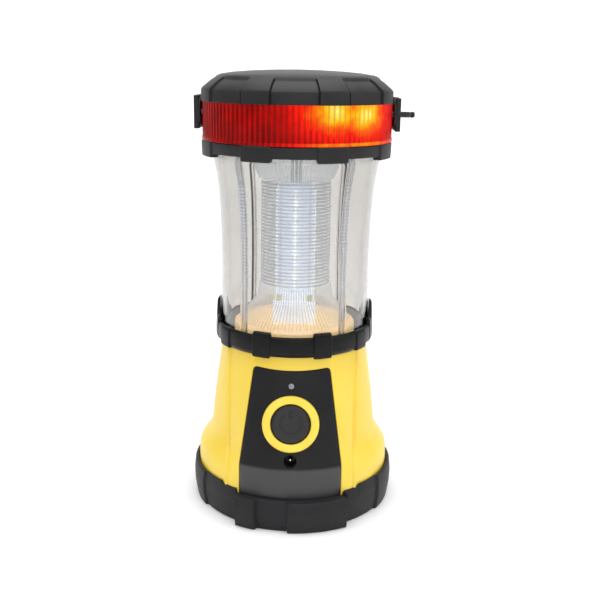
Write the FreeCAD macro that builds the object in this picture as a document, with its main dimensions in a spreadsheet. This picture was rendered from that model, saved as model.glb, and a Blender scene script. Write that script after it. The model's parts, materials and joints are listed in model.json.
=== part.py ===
"""Rechargeable camping lantern with a red flasher head, as a parametric document.

The lantern stands on the XY plane with its axis on Z and its control panel towards -Y.
All lengths are millimetres and all angles are degrees.
"""
import FreeCAD, Part
import math
import os
import Sketcher

DRIVING = {
    # foot and base
    "foot_radius": 54.6, "foot_bottom_radius": 53.6, "foot_front_radius": 57.2,
    "foot_block_radius": 59.6, "foot_side_radius": 56.0, "foot_height": 20.5,
    "foot_front_height": 17.0, "foot_bore_radius": 53.2, "foot_lip_height": 1.5,
    "block_lift": 0.4, "block_stagger": 0.02,
    "base_plate_radius": 52.6, "base_plate_top": 4.0, "base_screw_circle": 45.0, "base_face_radius": 34.0,
    # yellow shell, from the skirt up to the neck
    "skirt_radius": 53.0, "skirt_height": 30.4, "panel_knee": 33.0, "knee_radius": 50.9,
    "bell_radius": 46.6, "bell_height": 39.0, "hip_radius": 45.5, "hip_height": 45.0,
    "waist_radius": 43.1, "waist_height": 66.5, "shoulder_radius": 40.3,
    "shoulder_height": 85.5, "neck_radius": 39.8, "neck_height": 91.0,
    "crease_half": 34.0, "shell_wall": 2.5, "panel_wall": 5.0,
    # control panel
    "panel_top": 85.0, "panel_bottom": 16.5, "panel_top_half": 19.7, "panel_half": 26.8,
    "panel_top_front": 40.5, "panel_knee_front": 51.0, "panel_bottom_front": 52.5,
    "panel_top_bow": 3.4, "panel_knee_bow": 6.5, "panel_thickness": 2.0, "panel_gap": 0.15,
    # what the panel carries, along the panel from the button's centre
    "button_height": 56.4, "button_radius": 10.3, "ring_radius": 14.9,
    "sign_inner": 4.9, "sign_outer": 6.1,
    "ring_bore": 10.6, "ring_depth": 4.0, "indicator_radius": 1.5, "indicator_rise": 20.2,
    "jack_drop": 19.6, "jack_hole_radius": 3.5, "jack_bore_radius": 3.2,
    # collar between the shell and the globe
    "collar_bottom": 92.2, "collar_top": 102.0, "collar_radius": 43.3, "collar_bore": 40.9,
    "collar_lug_radius": 44.4, "collar_lug_bottom": 90.6, "collar_lug_top": 104.0, "ear_top": 113.0,
    "collar_screw_circle": 35.5,
    # globe and the light column in it
    "globe_bottom": 94.0, "globe_top": 194.0, "globe_low_radius": 40.5,
    "globe_waist_radius": 40.0, "globe_waist_height": 132.0, "globe_high_radius": 42.9,
    "globe_high_height": 190.0, "globe_wall": 2.5, "globe_rib_angle": 42.0,
    "deck_radius": 33.0, "deck_top": 101.0, "lens_radius": 19.0, "lens_wall": 1.7,
    "lens_bottom": 122.0, "lens_top": 178.0, "column_width": 17.0, "column_bottom": 117.5,
    "column_top": 177.0, "block_width": 23.0, "block_top": 113.0,
    # flasher head
    "head_bottom": 192.9, "head_top": 199.0, "head_radius": 50.2, "tab_bottom": 190.9,
    "band_radius": 50.0, "band_wall": 2.0, "band_top": 218.4, "rim_radius": 50.5,
    "rim_top": 225.2, "slope_radius": 41.0, "slope_top": 231.6, "dome_top": 234.6,
    "cap_wall": 2.4, "cap_recess": 1.0, "cap_recess_end": 39.5, "cap_recess_angle": 26.5,
    "post_circle": 37.2, "board_circle": 24.0, "flasher_board_bottom": 209.0,
    "reflector_radius": 33.0,
    # screw shanks, which their pilot holes match
    "base_shank": 1.4, "collar_shank": 1.4, "head_shank": 1.3, "board_shank": 1.2,
    # carrying handle
    "pivot_height": 212.5, "pin_radius": 1.5, "pin_clearance": 0.05, "handle_half_width": 51.0,
    "handle_thickness": 2.6, "handle_band": 17.0, "handle_straight": 14.0,
    "stud_end": 61.5,
    # battery cells
    "cell_radius": 11.2, "cell_length": 43.0, "cell_pitch": 22.8, "cell_bottom": 6.0,
    # driver board over the cells
    "board_bottom": 64.0, "board_thickness": 1.6, "board_width": 50.0, "board_depth": 38.0,
    "board_shift": 4.0,
}


class Size(float):
    """A number that remembers the spreadsheet expression it comes from."""

    def __new__(cls, value, text):
        size = super().__new__(cls, value)
        size.text = text
        return size

    def __add__(self, other):
        return Size(float(self) + float(other), f"({self.text} + {text_of(other)})")

    __radd__ = __add__

    def __sub__(self, other):
        return Size(float(self) - float(other), f"({self.text} - {text_of(other)})")

    def __rsub__(self, other):
        return Size(float(other) - float(self), f"({text_of(other)} - {self.text})")

    def __mul__(self, other):
        return Size(float(self) * float(other), f"({self.text} * {text_of(other)})")

    __rmul__ = __mul__

    def __truediv__(self, other):
        return Size(float(self) / float(other), f"({self.text} / {text_of(other)})")

    def __neg__(self):
        return Size(-float(self), f"(0 - {self.text})")


def text_of(value):
    return value.text if isinstance(value, Size) else repr(float(value))


def root(size):
    return Size(math.sqrt(size), f"sqrt({size.text})")


class Sizes:
    """The driving dimensions by name, each one bound to its spreadsheet cell."""

    def __init__(self, sheet):
        for row, (name, value) in enumerate(DRIVING.items(), start=1):
            sheet.set(f"A{row}", name.replace("_", " "))
            sheet.set(f"B{row}", str(value))
            sheet.setAlias(f"B{row}", name)
            setattr(self, name, Size(value, f"Dims.{name}"))


doc = FreeCAD.newDocument("Lantern")
sheet = doc.addObject("Spreadsheet::Sheet", "Dims")
d = Sizes(sheet)
doc.recompute()
exported = []


# ---------------------------------------------------------------- drawing helpers

def bind(target, path, value):
    if isinstance(value, Size):
        target.setExpression(path, value.text)


def new_body(label, kept=True):
    body = doc.addObject("PartDesign::Body", label)
    body.Label = label
    if kept:
        exported.append(body)
    return body


def place(target, x=0, y=0, z=0, rotation=None):
    target.Placement = FreeCAD.Placement(FreeCAD.Vector(x, y, z), rotation or FreeCAD.Rotation())
    for axis, value in zip("xyz", (x, y, z)):
        bind(target, f"Placement.Base.{axis}", value)


def origin_feature(body, role):
    return next(item for item in body.Origin.OriginFeatures if item.Role == role)


def new_sketch(body, name, role="XY_Plane", lift=0, shift=0, lean=0):
    """A sketch on one of the body's own planes, lifted along its normal and leaned about x."""
    sketch = body.newObject("Sketcher::SketchObject", name)
    sketch.AttachmentSupport = [(origin_feature(body, role), "")]
    sketch.MapMode = "FlatFace"
    turn = FreeCAD.Rotation(FreeCAD.Vector(1, 0, 0), lean)
    sketch.AttachmentOffset = FreeCAD.Placement(FreeCAD.Vector(0, shift, lift), turn)
    bind(sketch, "AttachmentOffset.Base.y", shift)
    bind(sketch, "AttachmentOffset.Base.z", lift)
    return sketch


def hold_point(sketch, geometry, end, x, y, axes="xy"):
    """Fix one point of the sketch at x, y, or along one axis only, bound to the sheet."""
    for name, kind, line, value in (("x", "DistanceX", -2, x), ("y", "DistanceY", -1, y)):
        if name not in axes:
            continue
        if abs(value) < 1e-9:
            sketch.addConstraint(Sketcher.Constraint("PointOnObject", geometry, end, line))
        else:
            index = sketch.addConstraint(Sketcher.Constraint(kind, -1, 1, geometry, end, float(value)))
            bind(sketch, f"Constraints[{index}]", value)


def circle(sketch, x, y, radius):
    shape = Part.Circle(FreeCAD.Vector(x, y, 0), FreeCAD.Vector(0, 0, 1), float(radius))
    index = sketch.addGeometry(shape)
    hold_point(sketch, index, 3, x, y)
    limit = sketch.addConstraint(Sketcher.Constraint("Radius", index, float(radius)))
    bind(sketch, f"Constraints[{limit}]", radius)


def arc_between(start, end, radius, side, large):
    """The arc from start to end; side is +1 when its centre lies left of the chord."""
    chord = end - start
    half = chord.Length / 2
    across = FreeCAD.Vector(-chord.y, chord.x, 0).normalize()
    centre = (start + end) * 0.5 + across * side * math.sqrt(max(radius * radius - half * half, 0))
    anticlockwise = (side > 0) != large
    first, last = (start, end) if anticlockwise else (end, start)
    low, high = (math.atan2(point.y - centre.y, point.x - centre.x) for point in (first, last))
    if high < low:
        high += 2 * math.pi
    round_path = Part.Circle(centre, FreeCAD.Vector(0, 0, 1), radius)
    return Part.ArcOfCircle(round_path, low, high), anticlockwise, centre.Length < 1e-6


def loop(sketch, corners, arcs=None):
    """A closed outline. arcs maps a corner's index to (radius, side, large) of the arc after it."""
    arcs = arcs or {}
    count = len(corners)
    points = [FreeCAD.Vector(x, y, 0) for x, y in corners]
    ends = []
    on_centred = set()
    for index, start in enumerate(points):
        end = points[(index + 1) % count]
        if index not in arcs:
            number = sketch.addGeometry(Part.LineSegment(start, end))
            ends.append((number, 1, 2))
            continue
        radius, side, large = arcs[index]
        arc, anticlockwise, centred = arc_between(start, end, float(radius), side, large)
        number = sketch.addGeometry(arc)
        if centred:
            sketch.addConstraint(Sketcher.Constraint("Coincident", number, 3, -1, 1))
            on_centred |= {index, (index + 1) % count}
        limit = sketch.addConstraint(Sketcher.Constraint("Radius", number, float(radius)))
        bind(sketch, f"Constraints[{limit}]", radius)
        ends.append((number, 1, 2) if anticlockwise else (number, 2, 1))
    for index, (number, first, last) in enumerate(ends):
        follower, its_first, _ = ends[(index + 1) % count]
        sketch.addConstraint(Sketcher.Constraint("Coincident", number, last, follower, its_first))
        x, y = corners[index]
        steep = "x" if abs(y) > abs(x) else "y"
        hold_point(sketch, number, first, x, y, steep if index in on_centred else "xy")


def rectangle(sketch, x_low, x_high, y_low, y_high):
    loop(sketch, [(x_low, y_low), (x_high, y_low), (x_high, y_high), (x_low, y_high)])


def sector(sketch, inner, outer, centre, width):
    """A piece of a ring round the sketch's origin, between two angles."""
    low = math.radians(centre - width / 2)
    high = math.radians(centre + width / 2)
    corners = [(inner * math.cos(low), inner * math.sin(low)),
               (outer * math.cos(low), outer * math.sin(low)),
               (outer * math.cos(high), outer * math.sin(high)),
               (inner * math.cos(high), inner * math.sin(high))]
    loop(sketch, corners, {1: (outer, 1, False), 3: (inner, -1, False)})


def pad(body, sketch, length, midplane=False, backwards=False):
    feature = body.newObject("PartDesign::Pad", "Pad")
    feature.Profile = sketch
    feature.Length = float(length)
    bind(feature, "Length", length)
    feature.Midplane = midplane
    feature.Reversed = backwards
    return feature


def pocket(body, sketch, length=None, backwards=False, midplane=False):
    feature = body.newObject("PartDesign::Pocket", "Pocket")
    feature.Profile = sketch
    if length is None:
        feature.Type = "ThroughAll"
    else:
        feature.Length = float(length)
        bind(feature, "Length", length)
    feature.Midplane = midplane
    feature.Reversed = backwards
    return feature


def turned(label, corners, arcs=None, kept=True):
    """A body of revolution about Z from its half section, given as radius and height."""
    body = new_body(label, kept)
    sketch = new_sketch(body, "Section", "XZ_Plane")
    loop(sketch, corners, arcs)
    feature = body.newObject("PartDesign::Revolution", "Turned")
    feature.Profile = sketch
    feature.ReferenceAxis = (sketch, ["V_Axis"])
    feature.Angle = 360
    return body


def tube(label, inner, outer, low, high, kept=True):
    return turned(label, [(inner, low), (outer, low), (outer, high), (inner, high)], kept=kept)


def groove(body, corners, angle=360):
    sketch = new_sketch(body, "GrooveSection", "XZ_Plane")
    loop(sketch, corners)
    feature = body.newObject("PartDesign::Groove", "Groove")
    feature.Profile = sketch
    feature.ReferenceAxis = (sketch, ["V_Axis"])
    feature.Angle = angle
    feature.Midplane = angle < 360
    return feature


def around(body, feature, count):
    pattern = body.newObject("PartDesign::PolarPattern", "Around")
    pattern.Originals = [feature]
    pattern.Axis = (origin_feature(body, "Z_Axis"), [""])
    pattern.Angle = 360
    pattern.Occurrences = count
    body.Tip = pattern
    return pattern


def box_body(label, x_size, y_size, low, high, x=0, y=0):
    body = new_body(label)
    sketch = new_sketch(body, "Outline", lift=low)
    rectangle(sketch, x - x_size / 2, x + x_size / 2, y - y_size / 2, y + y_size / 2)
    pad(body, sketch, high - low)
    return body


def spots(radius, angles):
    """Points on a circle; angle 0 is the front (-Y) and positive angles go towards +X."""
    return [(radius * math.sin(math.radians(a)), -radius * math.cos(math.radians(a))) for a in angles]


def group(label, master, placements):
    """One node of separate equal solids: copies of a master body at the given placements."""
    doc.recompute()
    copies = [master.Shape.transformed(place.toMatrix()) for place in placements]
    feature = doc.addObject("Part::Feature", label)
    feature.Label = label
    feature.Shape = Part.makeCompound(copies)
    exported.append(feature)
    return feature


def upright(points, z):
    return [FreeCAD.Placement(FreeCAD.Vector(x, y, z), FreeCAD.Rotation()) for x, y in points]


def screw_master(label, head_radius, head_height, shank_radius, length):
    """A pan-head screw pointing up, with the underside of its head at z = 0."""
    body = turned(label, [(0, -head_height), (head_radius, -head_height), (head_radius, 0),
                          (shank_radius, 0), (shank_radius, length - 1), (0.4, length),
                          (0, length)], kept=False)
    slot = new_sketch(body, "Cross", lift=-head_height)
    arm = head_radius * 0.62
    half = head_radius * 0.16
    loop(slot, [(half, half), (half, arm), (-half, arm), (-half, half), (-arm, half), (-arm, -half),
                (-half, -half), (-half, -arm), (half, -arm), (half, -half), (arm, -half),
                (arm, half)])
    pocket(body, slot, head_height * 0.55, backwards=True)
    return body


FRONT = -90.0
DIAGONALS = (45, 135, 225, 315)


# ---------------------------------------------------------------- foot and base

def foot_bumper():
    """Rubber bumper round the skirt, with raised blocks and a lower edge under the panel."""
    low = d.foot_lip_height
    body = turned("foot_bumper", [
        (d.base_plate_radius - 4, 0), (d.foot_bottom_radius - 1, 0), (d.foot_bottom_radius, 1),
        (d.foot_radius, 8), (d.foot_radius, d.foot_front_height),
        (d.foot_bore_radius, d.foot_front_height), (d.foot_bore_radius, low),
        (d.base_plate_radius - 4, low)])
    blocks = [
        # centre angle, width, outer radius, top
        (FRONT, 63, d.foot_front_radius, d.foot_front_height),
        (FRONT - 24, 12, d.foot_block_radius, d.foot_front_height - 0.6),
        (FRONT + 15.5, 33, d.foot_block_radius, d.foot_front_height - 0.6),
        (FRONT - 37, 11, d.foot_radius, d.foot_height - 1.2),
        (FRONT + 37, 11, d.foot_radius, d.foot_height - 1.2),
        (90, 200, d.foot_radius, d.foot_height),
        (0, 62, d.foot_side_radius, d.foot_height),
        (180, 62, d.foot_side_radius, d.foot_height),
        (90, 30, d.foot_block_radius, d.foot_height - 3),
    ]
    for index, (centre, width, radius, top) in enumerate(blocks):
        # The stagger keeps the undersides of crossing blocks from sharing one plane.
        sketch = new_sketch(body, "Block", lift=d.block_lift + d.block_stagger * index)
        inner = d.foot_bore_radius + (0 if radius is d.foot_radius else 0.7)
        if width > 180:
            ring_part(sketch, inner, radius, centre, width)
        else:
            sector(sketch, inner, radius, centre, width)
        pad(body, sketch, top - d.block_lift)


def ring_part(sketch, inner, outer, centre, width):
    """A ring piece of more than half a turn."""
    low = math.radians(centre - width / 2)
    high = math.radians(centre + width / 2)
    corners = [(inner * math.cos(low), inner * math.sin(low)),
               (outer * math.cos(low), outer * math.sin(low)),
               (outer * math.cos(high), outer * math.sin(high)),
               (inner * math.cos(high), inner * math.sin(high))]
    loop(sketch, corners, {1: (outer, -1, True), 3: (inner, 1, True)})


def base_plate():
    """Bottom cover with a flat middle that stands level with the bumper."""
    body = turned("base_plate", [
        (0, 0), (d.base_face_radius, 0), (d.base_face_radius + 1.5, d.foot_lip_height),
        (d.base_plate_radius, d.foot_lip_height), (d.base_plate_radius, d.base_plate_top),
        (0, d.base_plate_top)])
    for x, y in spots(d.base_screw_circle, DIAGONALS):
        sketch = new_sketch(body, "ScrewHole", lift=d.foot_lip_height)
        circle(sketch, x, y, 1.8)
        pocket(body, sketch, d.base_plate_top, backwards=True)
    for x, y in spots(d.base_screw_circle, DIAGONALS):
        sketch = new_sketch(body, "HeadRecess", lift=d.foot_lip_height)
        circle(sketch, x, y, 3.4)
        pocket(body, sketch, 1.2, backwards=True)


def front_line(z):
    """Depth, half width and bow of the panel's front at height z, as straight lines in z."""
    if z <= d.panel_knee + 1e-6:
        share = (d.panel_knee - z) / (d.panel_knee - d.panel_bottom)
        if z < d.panel_bottom:
            share = Size(1.0, "1.0")
        depth = d.panel_knee_front + (d.panel_bottom_front - d.panel_knee_front) * share
        return depth, d.panel_half, d.panel_knee_bow
    share = (z - d.panel_knee) / (d.panel_top - d.panel_knee)
    depth = d.panel_knee_front + (d.panel_top_front - d.panel_knee_front) * share
    half = d.panel_half + (d.panel_top_half - d.panel_half) * share
    bow = d.panel_knee_bow + (d.panel_top_bow - d.panel_knee_bow) * share
    return depth, half, bow


def shell_section(body, z, radius, inset, front_inset):
    """One level of the shell: bowed front, two flat cheeks out to the crease, round back."""
    depth, half, bow = front_line(z)
    arc_radius = (half * half + bow * bow) / (2 * bow)
    crease = d.crease_half - inset
    side = root((radius - inset) * (radius - inset) - crease * crease)
    front = -(depth - bow - front_inset)
    half = half - front_inset * 0.4
    sketch = new_sketch(body, "Level", lift=z)
    loop(sketch, [(-half, front), (half, front), (crease, -side), (-crease, -side)],
         {0: (arc_radius - front_inset, 1, False), 2: (radius - inset, -1, True)})
    return sketch


def stacked(body, kind, sketches):
    feature = body.newObject(f"PartDesign::{kind}", kind)
    feature.Profile = sketches[0]
    feature.Sections = sketches[1:]
    feature.Ruled = True
    return feature


def lower_shell():
    """Yellow housing: an eight-level tapering skin, open below, with a bored top."""
    levels = [(d.base_plate_top, d.skirt_radius), (d.panel_bottom, d.skirt_radius),
              (d.skirt_height, d.skirt_radius - 0.2), (d.panel_knee, d.knee_radius),
              (d.bell_height, d.bell_radius), (d.hip_height, d.hip_radius),
              (d.waist_height, d.waist_radius), (d.shoulder_height, d.shoulder_radius),
              (d.neck_height, d.neck_radius)]
    body = new_body("lower_shell")
    stacked(body, "AdditiveLoft", [shell_section(body, z, r, 0, 0) for z, r in levels])
    inner = [(z, r) for z, r in levels[:-1]]
    inner[-1] = (d.neck_height - d.shell_wall, d.shoulder_radius - 0.4)
    stacked(body, "SubtractiveLoft",
            [shell_section(body, z, r, d.shell_wall, d.panel_wall) for z, r in inner])
    stacked(body, "SubtractiveLoft", panel_sections(body, d.panel_gap, d.panel_thickness + 0.2))
    for x, y, radius in ((0, 0, d.ring_radius + 0.3), (0, d.indicator_rise, 2.0),
                         (0, -d.jack_drop, 5.0)):
        sketch = panel_sketch(body, "PanelHole")
        circle(sketch, x, y, radius)
        pocket(body, sketch, 14.0)
    bore = new_sketch(body, "WireHole", lift=d.neck_height)
    circle(bore, 0, 0, 8.0)
    pocket(body, bore, 6.0)
    for x, y in spots(d.base_screw_circle + 1.5, DIAGONALS):
        boss = new_sketch(body, "Boss", lift=d.base_plate_top)
        circle(boss, x, y, 4.2)
        pad(body, boss, 16.0)
    for x, y in spots(d.base_screw_circle, DIAGONALS):
        pilot = new_sketch(body, "Pilot", lift=d.base_plate_top)
        circle(pilot, x, y, d.base_shank)
        pocket(body, pilot, 13.0, backwards=True)
    for x, y in spots(d.collar_screw_circle, DIAGONALS):
        hole = new_sketch(body, "CollarPilot", lift=d.neck_height)
        circle(hole, x, y, d.collar_shank)
        pocket(body, hole, 6.0)


# ---------------------------------------------------------------- control panel

PANEL_LEAN = -math.degrees(math.atan2(
    DRIVING["panel_knee_front"] - DRIVING["panel_top_front"],
    DRIVING["panel_top"] - DRIVING["panel_knee"]))


def panel_depth():
    """Depth of the panel's front plane at the button's centre."""
    return front_line(d.button_height)[0]


def panel_sketch(body, name):
    """A sketch on the panel's leaning front plane, centred on the button, facing outwards."""
    sketch = new_sketch(body, name, "XZ_Plane", lift=panel_depth(), shift=d.button_height,
                        lean=PANEL_LEAN)
    return sketch


def on_panel(body):
    """Stand a body made about its own Z axis on the panel, +Z facing out of the panel."""
    turn = FreeCAD.Rotation(FreeCAD.Vector(1, 0, 0), 90 + PANEL_LEAN)
    place(body, 0, -panel_depth(), d.button_height, turn)


def panel_sections(body, gap, thickness):
    sketches = []
    for z, edge in ((d.panel_bottom, -1), (d.panel_knee, 0), (d.panel_top, 1)):
        depth, half, bow = front_line(z)
        radius = (half * half + bow * bow) / (2 * bow)
        front = -(depth - bow)
        half = half + gap
        sketch = new_sketch(body, "PanelLevel", lift=z + edge * gap)
        reach = 0.4 if gap else 0
        loop(sketch, [(-half, front - reach), (half, front - reach),
                      (half, front + thickness), (-half, front + thickness)],
             {0: (radius, 1, False), 2: (radius, -1, False)})
        sketches.append(sketch)
    return sketches


def control_panel():
    """Black plate let into the front, bowed and bent at the knee."""
    body = new_body("control_panel")
    stacked(body, "AdditiveLoft", panel_sections(body, 0, d.panel_thickness))
    for y, radius in ((0, d.ring_radius + 0.15), (d.indicator_rise, d.indicator_radius + 0.1),
                      (-d.jack_drop, d.jack_hole_radius)):
        sketch = panel_sketch(body, "PanelHole")
        circle(sketch, 0, y, radius)
        pocket(body, sketch, 14.0)


def button_ring():
    """Yellow ring round the button; its back is bored out to keep the button's flange."""
    body = turned("button_ring", [
        (d.ring_bore, 0.8), (d.ring_bore + 0.6, 1.2), (d.ring_radius - 0.8, 1.0),
        (d.ring_radius, 0.4), (d.ring_radius, 1.2 - d.ring_depth - 0.8),
        (d.ring_bore + 2, 1.2 - d.ring_depth - 0.8), (d.ring_bore + 2, -1.2),
        (d.ring_bore, -1.2)])
    on_panel(body)


def power_button():
    """Round push button with a flange behind the ring and a short stem."""
    body = turned("power_button", [
        (0, 0.7), (d.button_radius - 1.2, 0.6), (d.button_radius, 0),
        (d.button_radius, -1.5), (d.ring_bore + 1.5, -1.5), (d.ring_bore + 1.5, -2.5),
        (2.5, -2.5), (2.5, -5.6), (0, -5.6)])
    groove_mark(body)
    on_panel(body)


def groove_mark(body):
    """Shallow generic power sign: a broken ring and a bar."""
    ring = new_sketch(body, "Sign", lift=0.75)
    ring_part(ring, d.sign_inner, d.sign_outer, -90, 300)
    pocket(body, ring, 0.45)
    bar = new_sketch(body, "SignBar", lift=0.75)
    rectangle(bar, -0.5, 0.5, d.sign_inner - 2, d.sign_outer + 1)
    pocket(body, bar, 0.45)


def button_dome():
    """Silicone dome that returns the button; its foot stands on the switch board."""
    body = turned("button_dome", [
        (3.0, -2.6), (6.2, -2.6), (9.0, -7.0), (8.0, -7.0), (5.4, -3.4), (3.0, -3.4)])
    on_panel(body)


def switch_board():
    body = new_body("switch_board")
    sketch = new_sketch(body, "Outline", lift=-8.6)
    rectangle(sketch, -12, 12, -13, 24.5)
    pad(body, sketch, 1.6)
    on_panel(body)


def indicator_led():
    body = turned("indicator_led", [
        (0, 0.6), (d.indicator_radius - 0.7, 0.5), (d.indicator_radius, -0.2),
        (d.indicator_radius, -5.0), (1.9, -5.0), (1.9, -7.0), (0, -7.0)])
    turn = FreeCAD.Rotation(FreeCAD.Vector(1, 0, 0), 90 + PANEL_LEAN)
    lift = turn.multVec(FreeCAD.Vector(0, d.indicator_rise, 0))
    place(body, 0, lift.y - panel_depth(), lift.z + d.button_height, turn)


def jack_place(body):
    turn = FreeCAD.Rotation(FreeCAD.Vector(1, 0, 0), 90 + PANEL_LEAN)
    drop = turn.multVec(FreeCAD.Vector(0, -d.jack_drop, 0))
    place(body, 0, drop.y - panel_depth(), drop.z + d.button_height, turn)


def dc_jack():
    """Barrel inlet behind the panel, a square block with a round nose and a round bore."""
    body = new_body("dc_jack")
    block = new_sketch(body, "Block", lift=-16.0)
    rectangle(block, -5.0, 5.0, -5.0, 5.0)
    pad(body, block, 9.0)
    nose = new_sketch(body, "Nose", lift=-7.0)
    circle(nose, 0, 0, 4.6)
    pad(body, nose, 4.4)
    bore = new_sketch(body, "Bore", lift=-2.6)
    circle(bore, 0, 0, d.jack_bore_radius)
    pocket(body, bore, 10.0)
    jack_place(body)


def jack_pin():
    body = turned("jack_pin", [(0, -12.6), (1.0, -12.6), (1.0, -4.0), (0.6, -3.4), (0, -3.4)])
    jack_place(body)


# ---------------------------------------------------------------- battery and driver

def battery_tray():
    """Open tray on the base plate that keeps the six cells together."""
    wide = d.cell_pitch * 3 + 3.4
    deep = d.cell_pitch * 2 + 3.4
    body = box_body("battery_tray", wide, deep, d.base_plate_top, d.cell_bottom + 13)
    well = new_sketch(body, "Well", lift=d.cell_bottom)
    rectangle(well, 1.5 - wide / 2, wide / 2 - 1.5, 1.5 - deep / 2, deep / 2 - 1.5)
    pocket(body, well, 14.0, backwards=True)


def battery_cells():
    """Six upright cells in two rows of three, each with its raised contact."""
    top = d.cell_length
    master = turned("cell_master", [
        (0, 0), (d.cell_radius, 0), (d.cell_radius, top - 1), (d.cell_radius - 1, top), (4, top),
        (4, top + 1), (0, top + 1)], kept=False)
    points = [(column * d.cell_pitch, row * d.cell_pitch / 2)
              for column in (-1, 0, 1) for row in (-1, 1)]
    group("battery_cells", master, upright(points, d.cell_bottom))


def cells_top():
    """Height of the links' underside, on the cells' raised contacts."""
    return d.cell_bottom + d.cell_length + 1


def cell_links():
    """Nickel strips that join the cells in pairs across the pack."""
    master = new_body("link_master", kept=False)
    sketch = new_sketch(master, "Outline")
    rectangle(sketch, -3, 3, -14.5, 14.5)
    pad(master, sketch, 0.3)
    points = [(column * d.cell_pitch, 0) for column in (-1, 0, 1)]
    group("cell_links", master, upright(points, cells_top()))


def battery_clamp():
    """Ribbed bar across the cells that also carries the driver board's bracket."""
    low = cells_top() + 0.3
    body = box_body("battery_clamp", 66.0, 16.0, low, low + 2)
    rib = new_sketch(body, "Rib", lift=low + 2)
    rectangle(rib, -28, 28, -1.2, 1.2)
    pad(body, rib, 3.0)


def board_corners():
    """The four fixing points of the driver board."""
    across = d.board_width / 2 - 3
    back = d.board_depth / 2 - 3
    return [(side * across, d.board_shift + end * back) for side in (-1, 1) for end in (-1, 1)]


def driver_mounting():
    """Windowed bracket on the clamp and the four pillars that hold the driver board."""
    low = cells_top() + 5.3
    bracket = box_body("board_bracket", d.board_width + 4, d.board_depth + 4, low, low + 1.5,
                       y=d.board_shift)
    window = new_sketch(bracket, "Window", lift=low + 1.5)
    rectangle(window, -16, 16, d.board_shift + 2, d.board_shift + 14)
    pocket(bracket, window, 4.0)
    master = tube("pillar_master", 1.2, 2.8, 0, d.board_bottom - low - 1.5, kept=False)
    group("board_pillars", master, upright(board_corners(), low + 1.5))


def main_board():
    top = d.board_bottom + d.board_thickness
    body = box_body("main_board", d.board_width, d.board_depth, d.board_bottom, top,
                    y=d.board_shift)
    for x, y in board_corners():
        hole = new_sketch(body, "Hole", lift=top)
        circle(hole, x, y, 1.6)
        pocket(body, hole, 3.0)


def driver_parts():
    """Charger and lamp-driver parts standing on the driver board."""
    top = d.board_bottom + d.board_thickness
    blocks = [
        # x and y of the near corner, size in x, y and z
        (-20, -6, 14, 12, 11),  # transformer
        (2, 15, 16, 3, 13),  # heat sink
        (0, 2, 5, 4, 1.8),  # controller chip
    ]
    cans = [(14, -4, 4.0, 11), (14, 7, 4.0, 11), (3, -6, 2.5, 8)]
    solids = [Part.makeBox(x_size, y_size, height, FreeCAD.Vector(x, y, top))
              for x, y, x_size, y_size, height in blocks]
    solids += [Part.makeCylinder(radius, height, FreeCAD.Vector(x, y, top))
               for x, y, radius, height in cans]
    feature = doc.addObject("Part::Feature", "driver_parts")
    feature.Label = "driver_parts"
    feature.Shape = Part.makeCompound(solids)
    exported.append(feature)


# ---------------------------------------------------------------- collar and globe

def mid_collar():
    """Black collar that clamps the globe to the shell, with lugs, nubs and two side ears."""
    body = turned("mid_collar", [
        (d.neck_radius + 1.8, d.neck_height), (d.collar_radius - 0.4, d.collar_bottom),
        (d.collar_radius, d.collar_bottom + 3), (d.collar_radius - 0.3, d.collar_top - 4),
        (d.collar_bore + 1.2, d.collar_top), (d.collar_bore, d.collar_top),
        (d.collar_bore, d.neck_height + 2), (d.collar_bore - 7, d.neck_height + 2),
        (d.collar_bore - 7, d.neck_height)])
    lugs = [(side * 21.6 + back, 13.0, d.collar_lug_radius, d.collar_lug_bottom, d.collar_lug_top)
            for side in (-1, 1) for back in (0, 180)]
    nubs = [(angle, 12.0, d.collar_radius + 0.6, d.collar_lug_bottom + 0.4,
             d.collar_top - 2.5)
            for angle in (-57, 57, -123, 123)]
    wings = [(angle, 34.0, d.collar_radius, d.collar_bottom + 0.6, d.collar_top + 4)
             for angle in (-90, 90)]
    for angle, width, radius, low, high in lugs + nubs + wings:
        sketch = new_sketch(body, "Lug", lift=low)
        sector(sketch, d.collar_bore + 0.3, radius, FRONT + angle, width)
        pad(body, sketch, high - low)
    for side in (-1, 1):
        sketch = new_sketch(body, "Ear", "YZ_Plane", lift=side * (d.collar_bore + 0.1))
        loop(sketch, [(-9, d.collar_top), (9, d.collar_top), (2.5, d.ear_top), (-2.5, d.ear_top)])
        pad(body, sketch, 2.0, backwards=side < 0)
    for x, y in spots(d.collar_screw_circle, DIAGONALS):
        hole = new_sketch(body, "ScrewHole", lift=d.neck_height + 2)
        circle(hole, x, y, d.collar_shank + 0.1)
        pocket(body, hole, 4.0)


def collar_screws():
    master = screw_master("collar_screw_master", 2.2, 1.6, d.collar_shank, 6.0)
    flip = FreeCAD.Rotation(FreeCAD.Vector(1, 0, 0), 180)
    points = spots(d.collar_screw_circle, DIAGONALS)
    places = [FreeCAD.Placement(FreeCAD.Vector(x, y, d.neck_height + 2), flip) for x, y in points]
    group("collar_screws", master, places)


def deck_plate():
    """Orange-yellow reflector deck under the light column."""
    turned("deck_plate", [
        (7, d.deck_top - 1.8), (d.deck_radius - 2, d.deck_top - 1.8),
        (d.deck_radius - 2, d.neck_height + 0.2), (d.deck_radius, d.neck_height + 0.2),
        (d.deck_radius, d.deck_top), (7, d.deck_top)])


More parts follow.
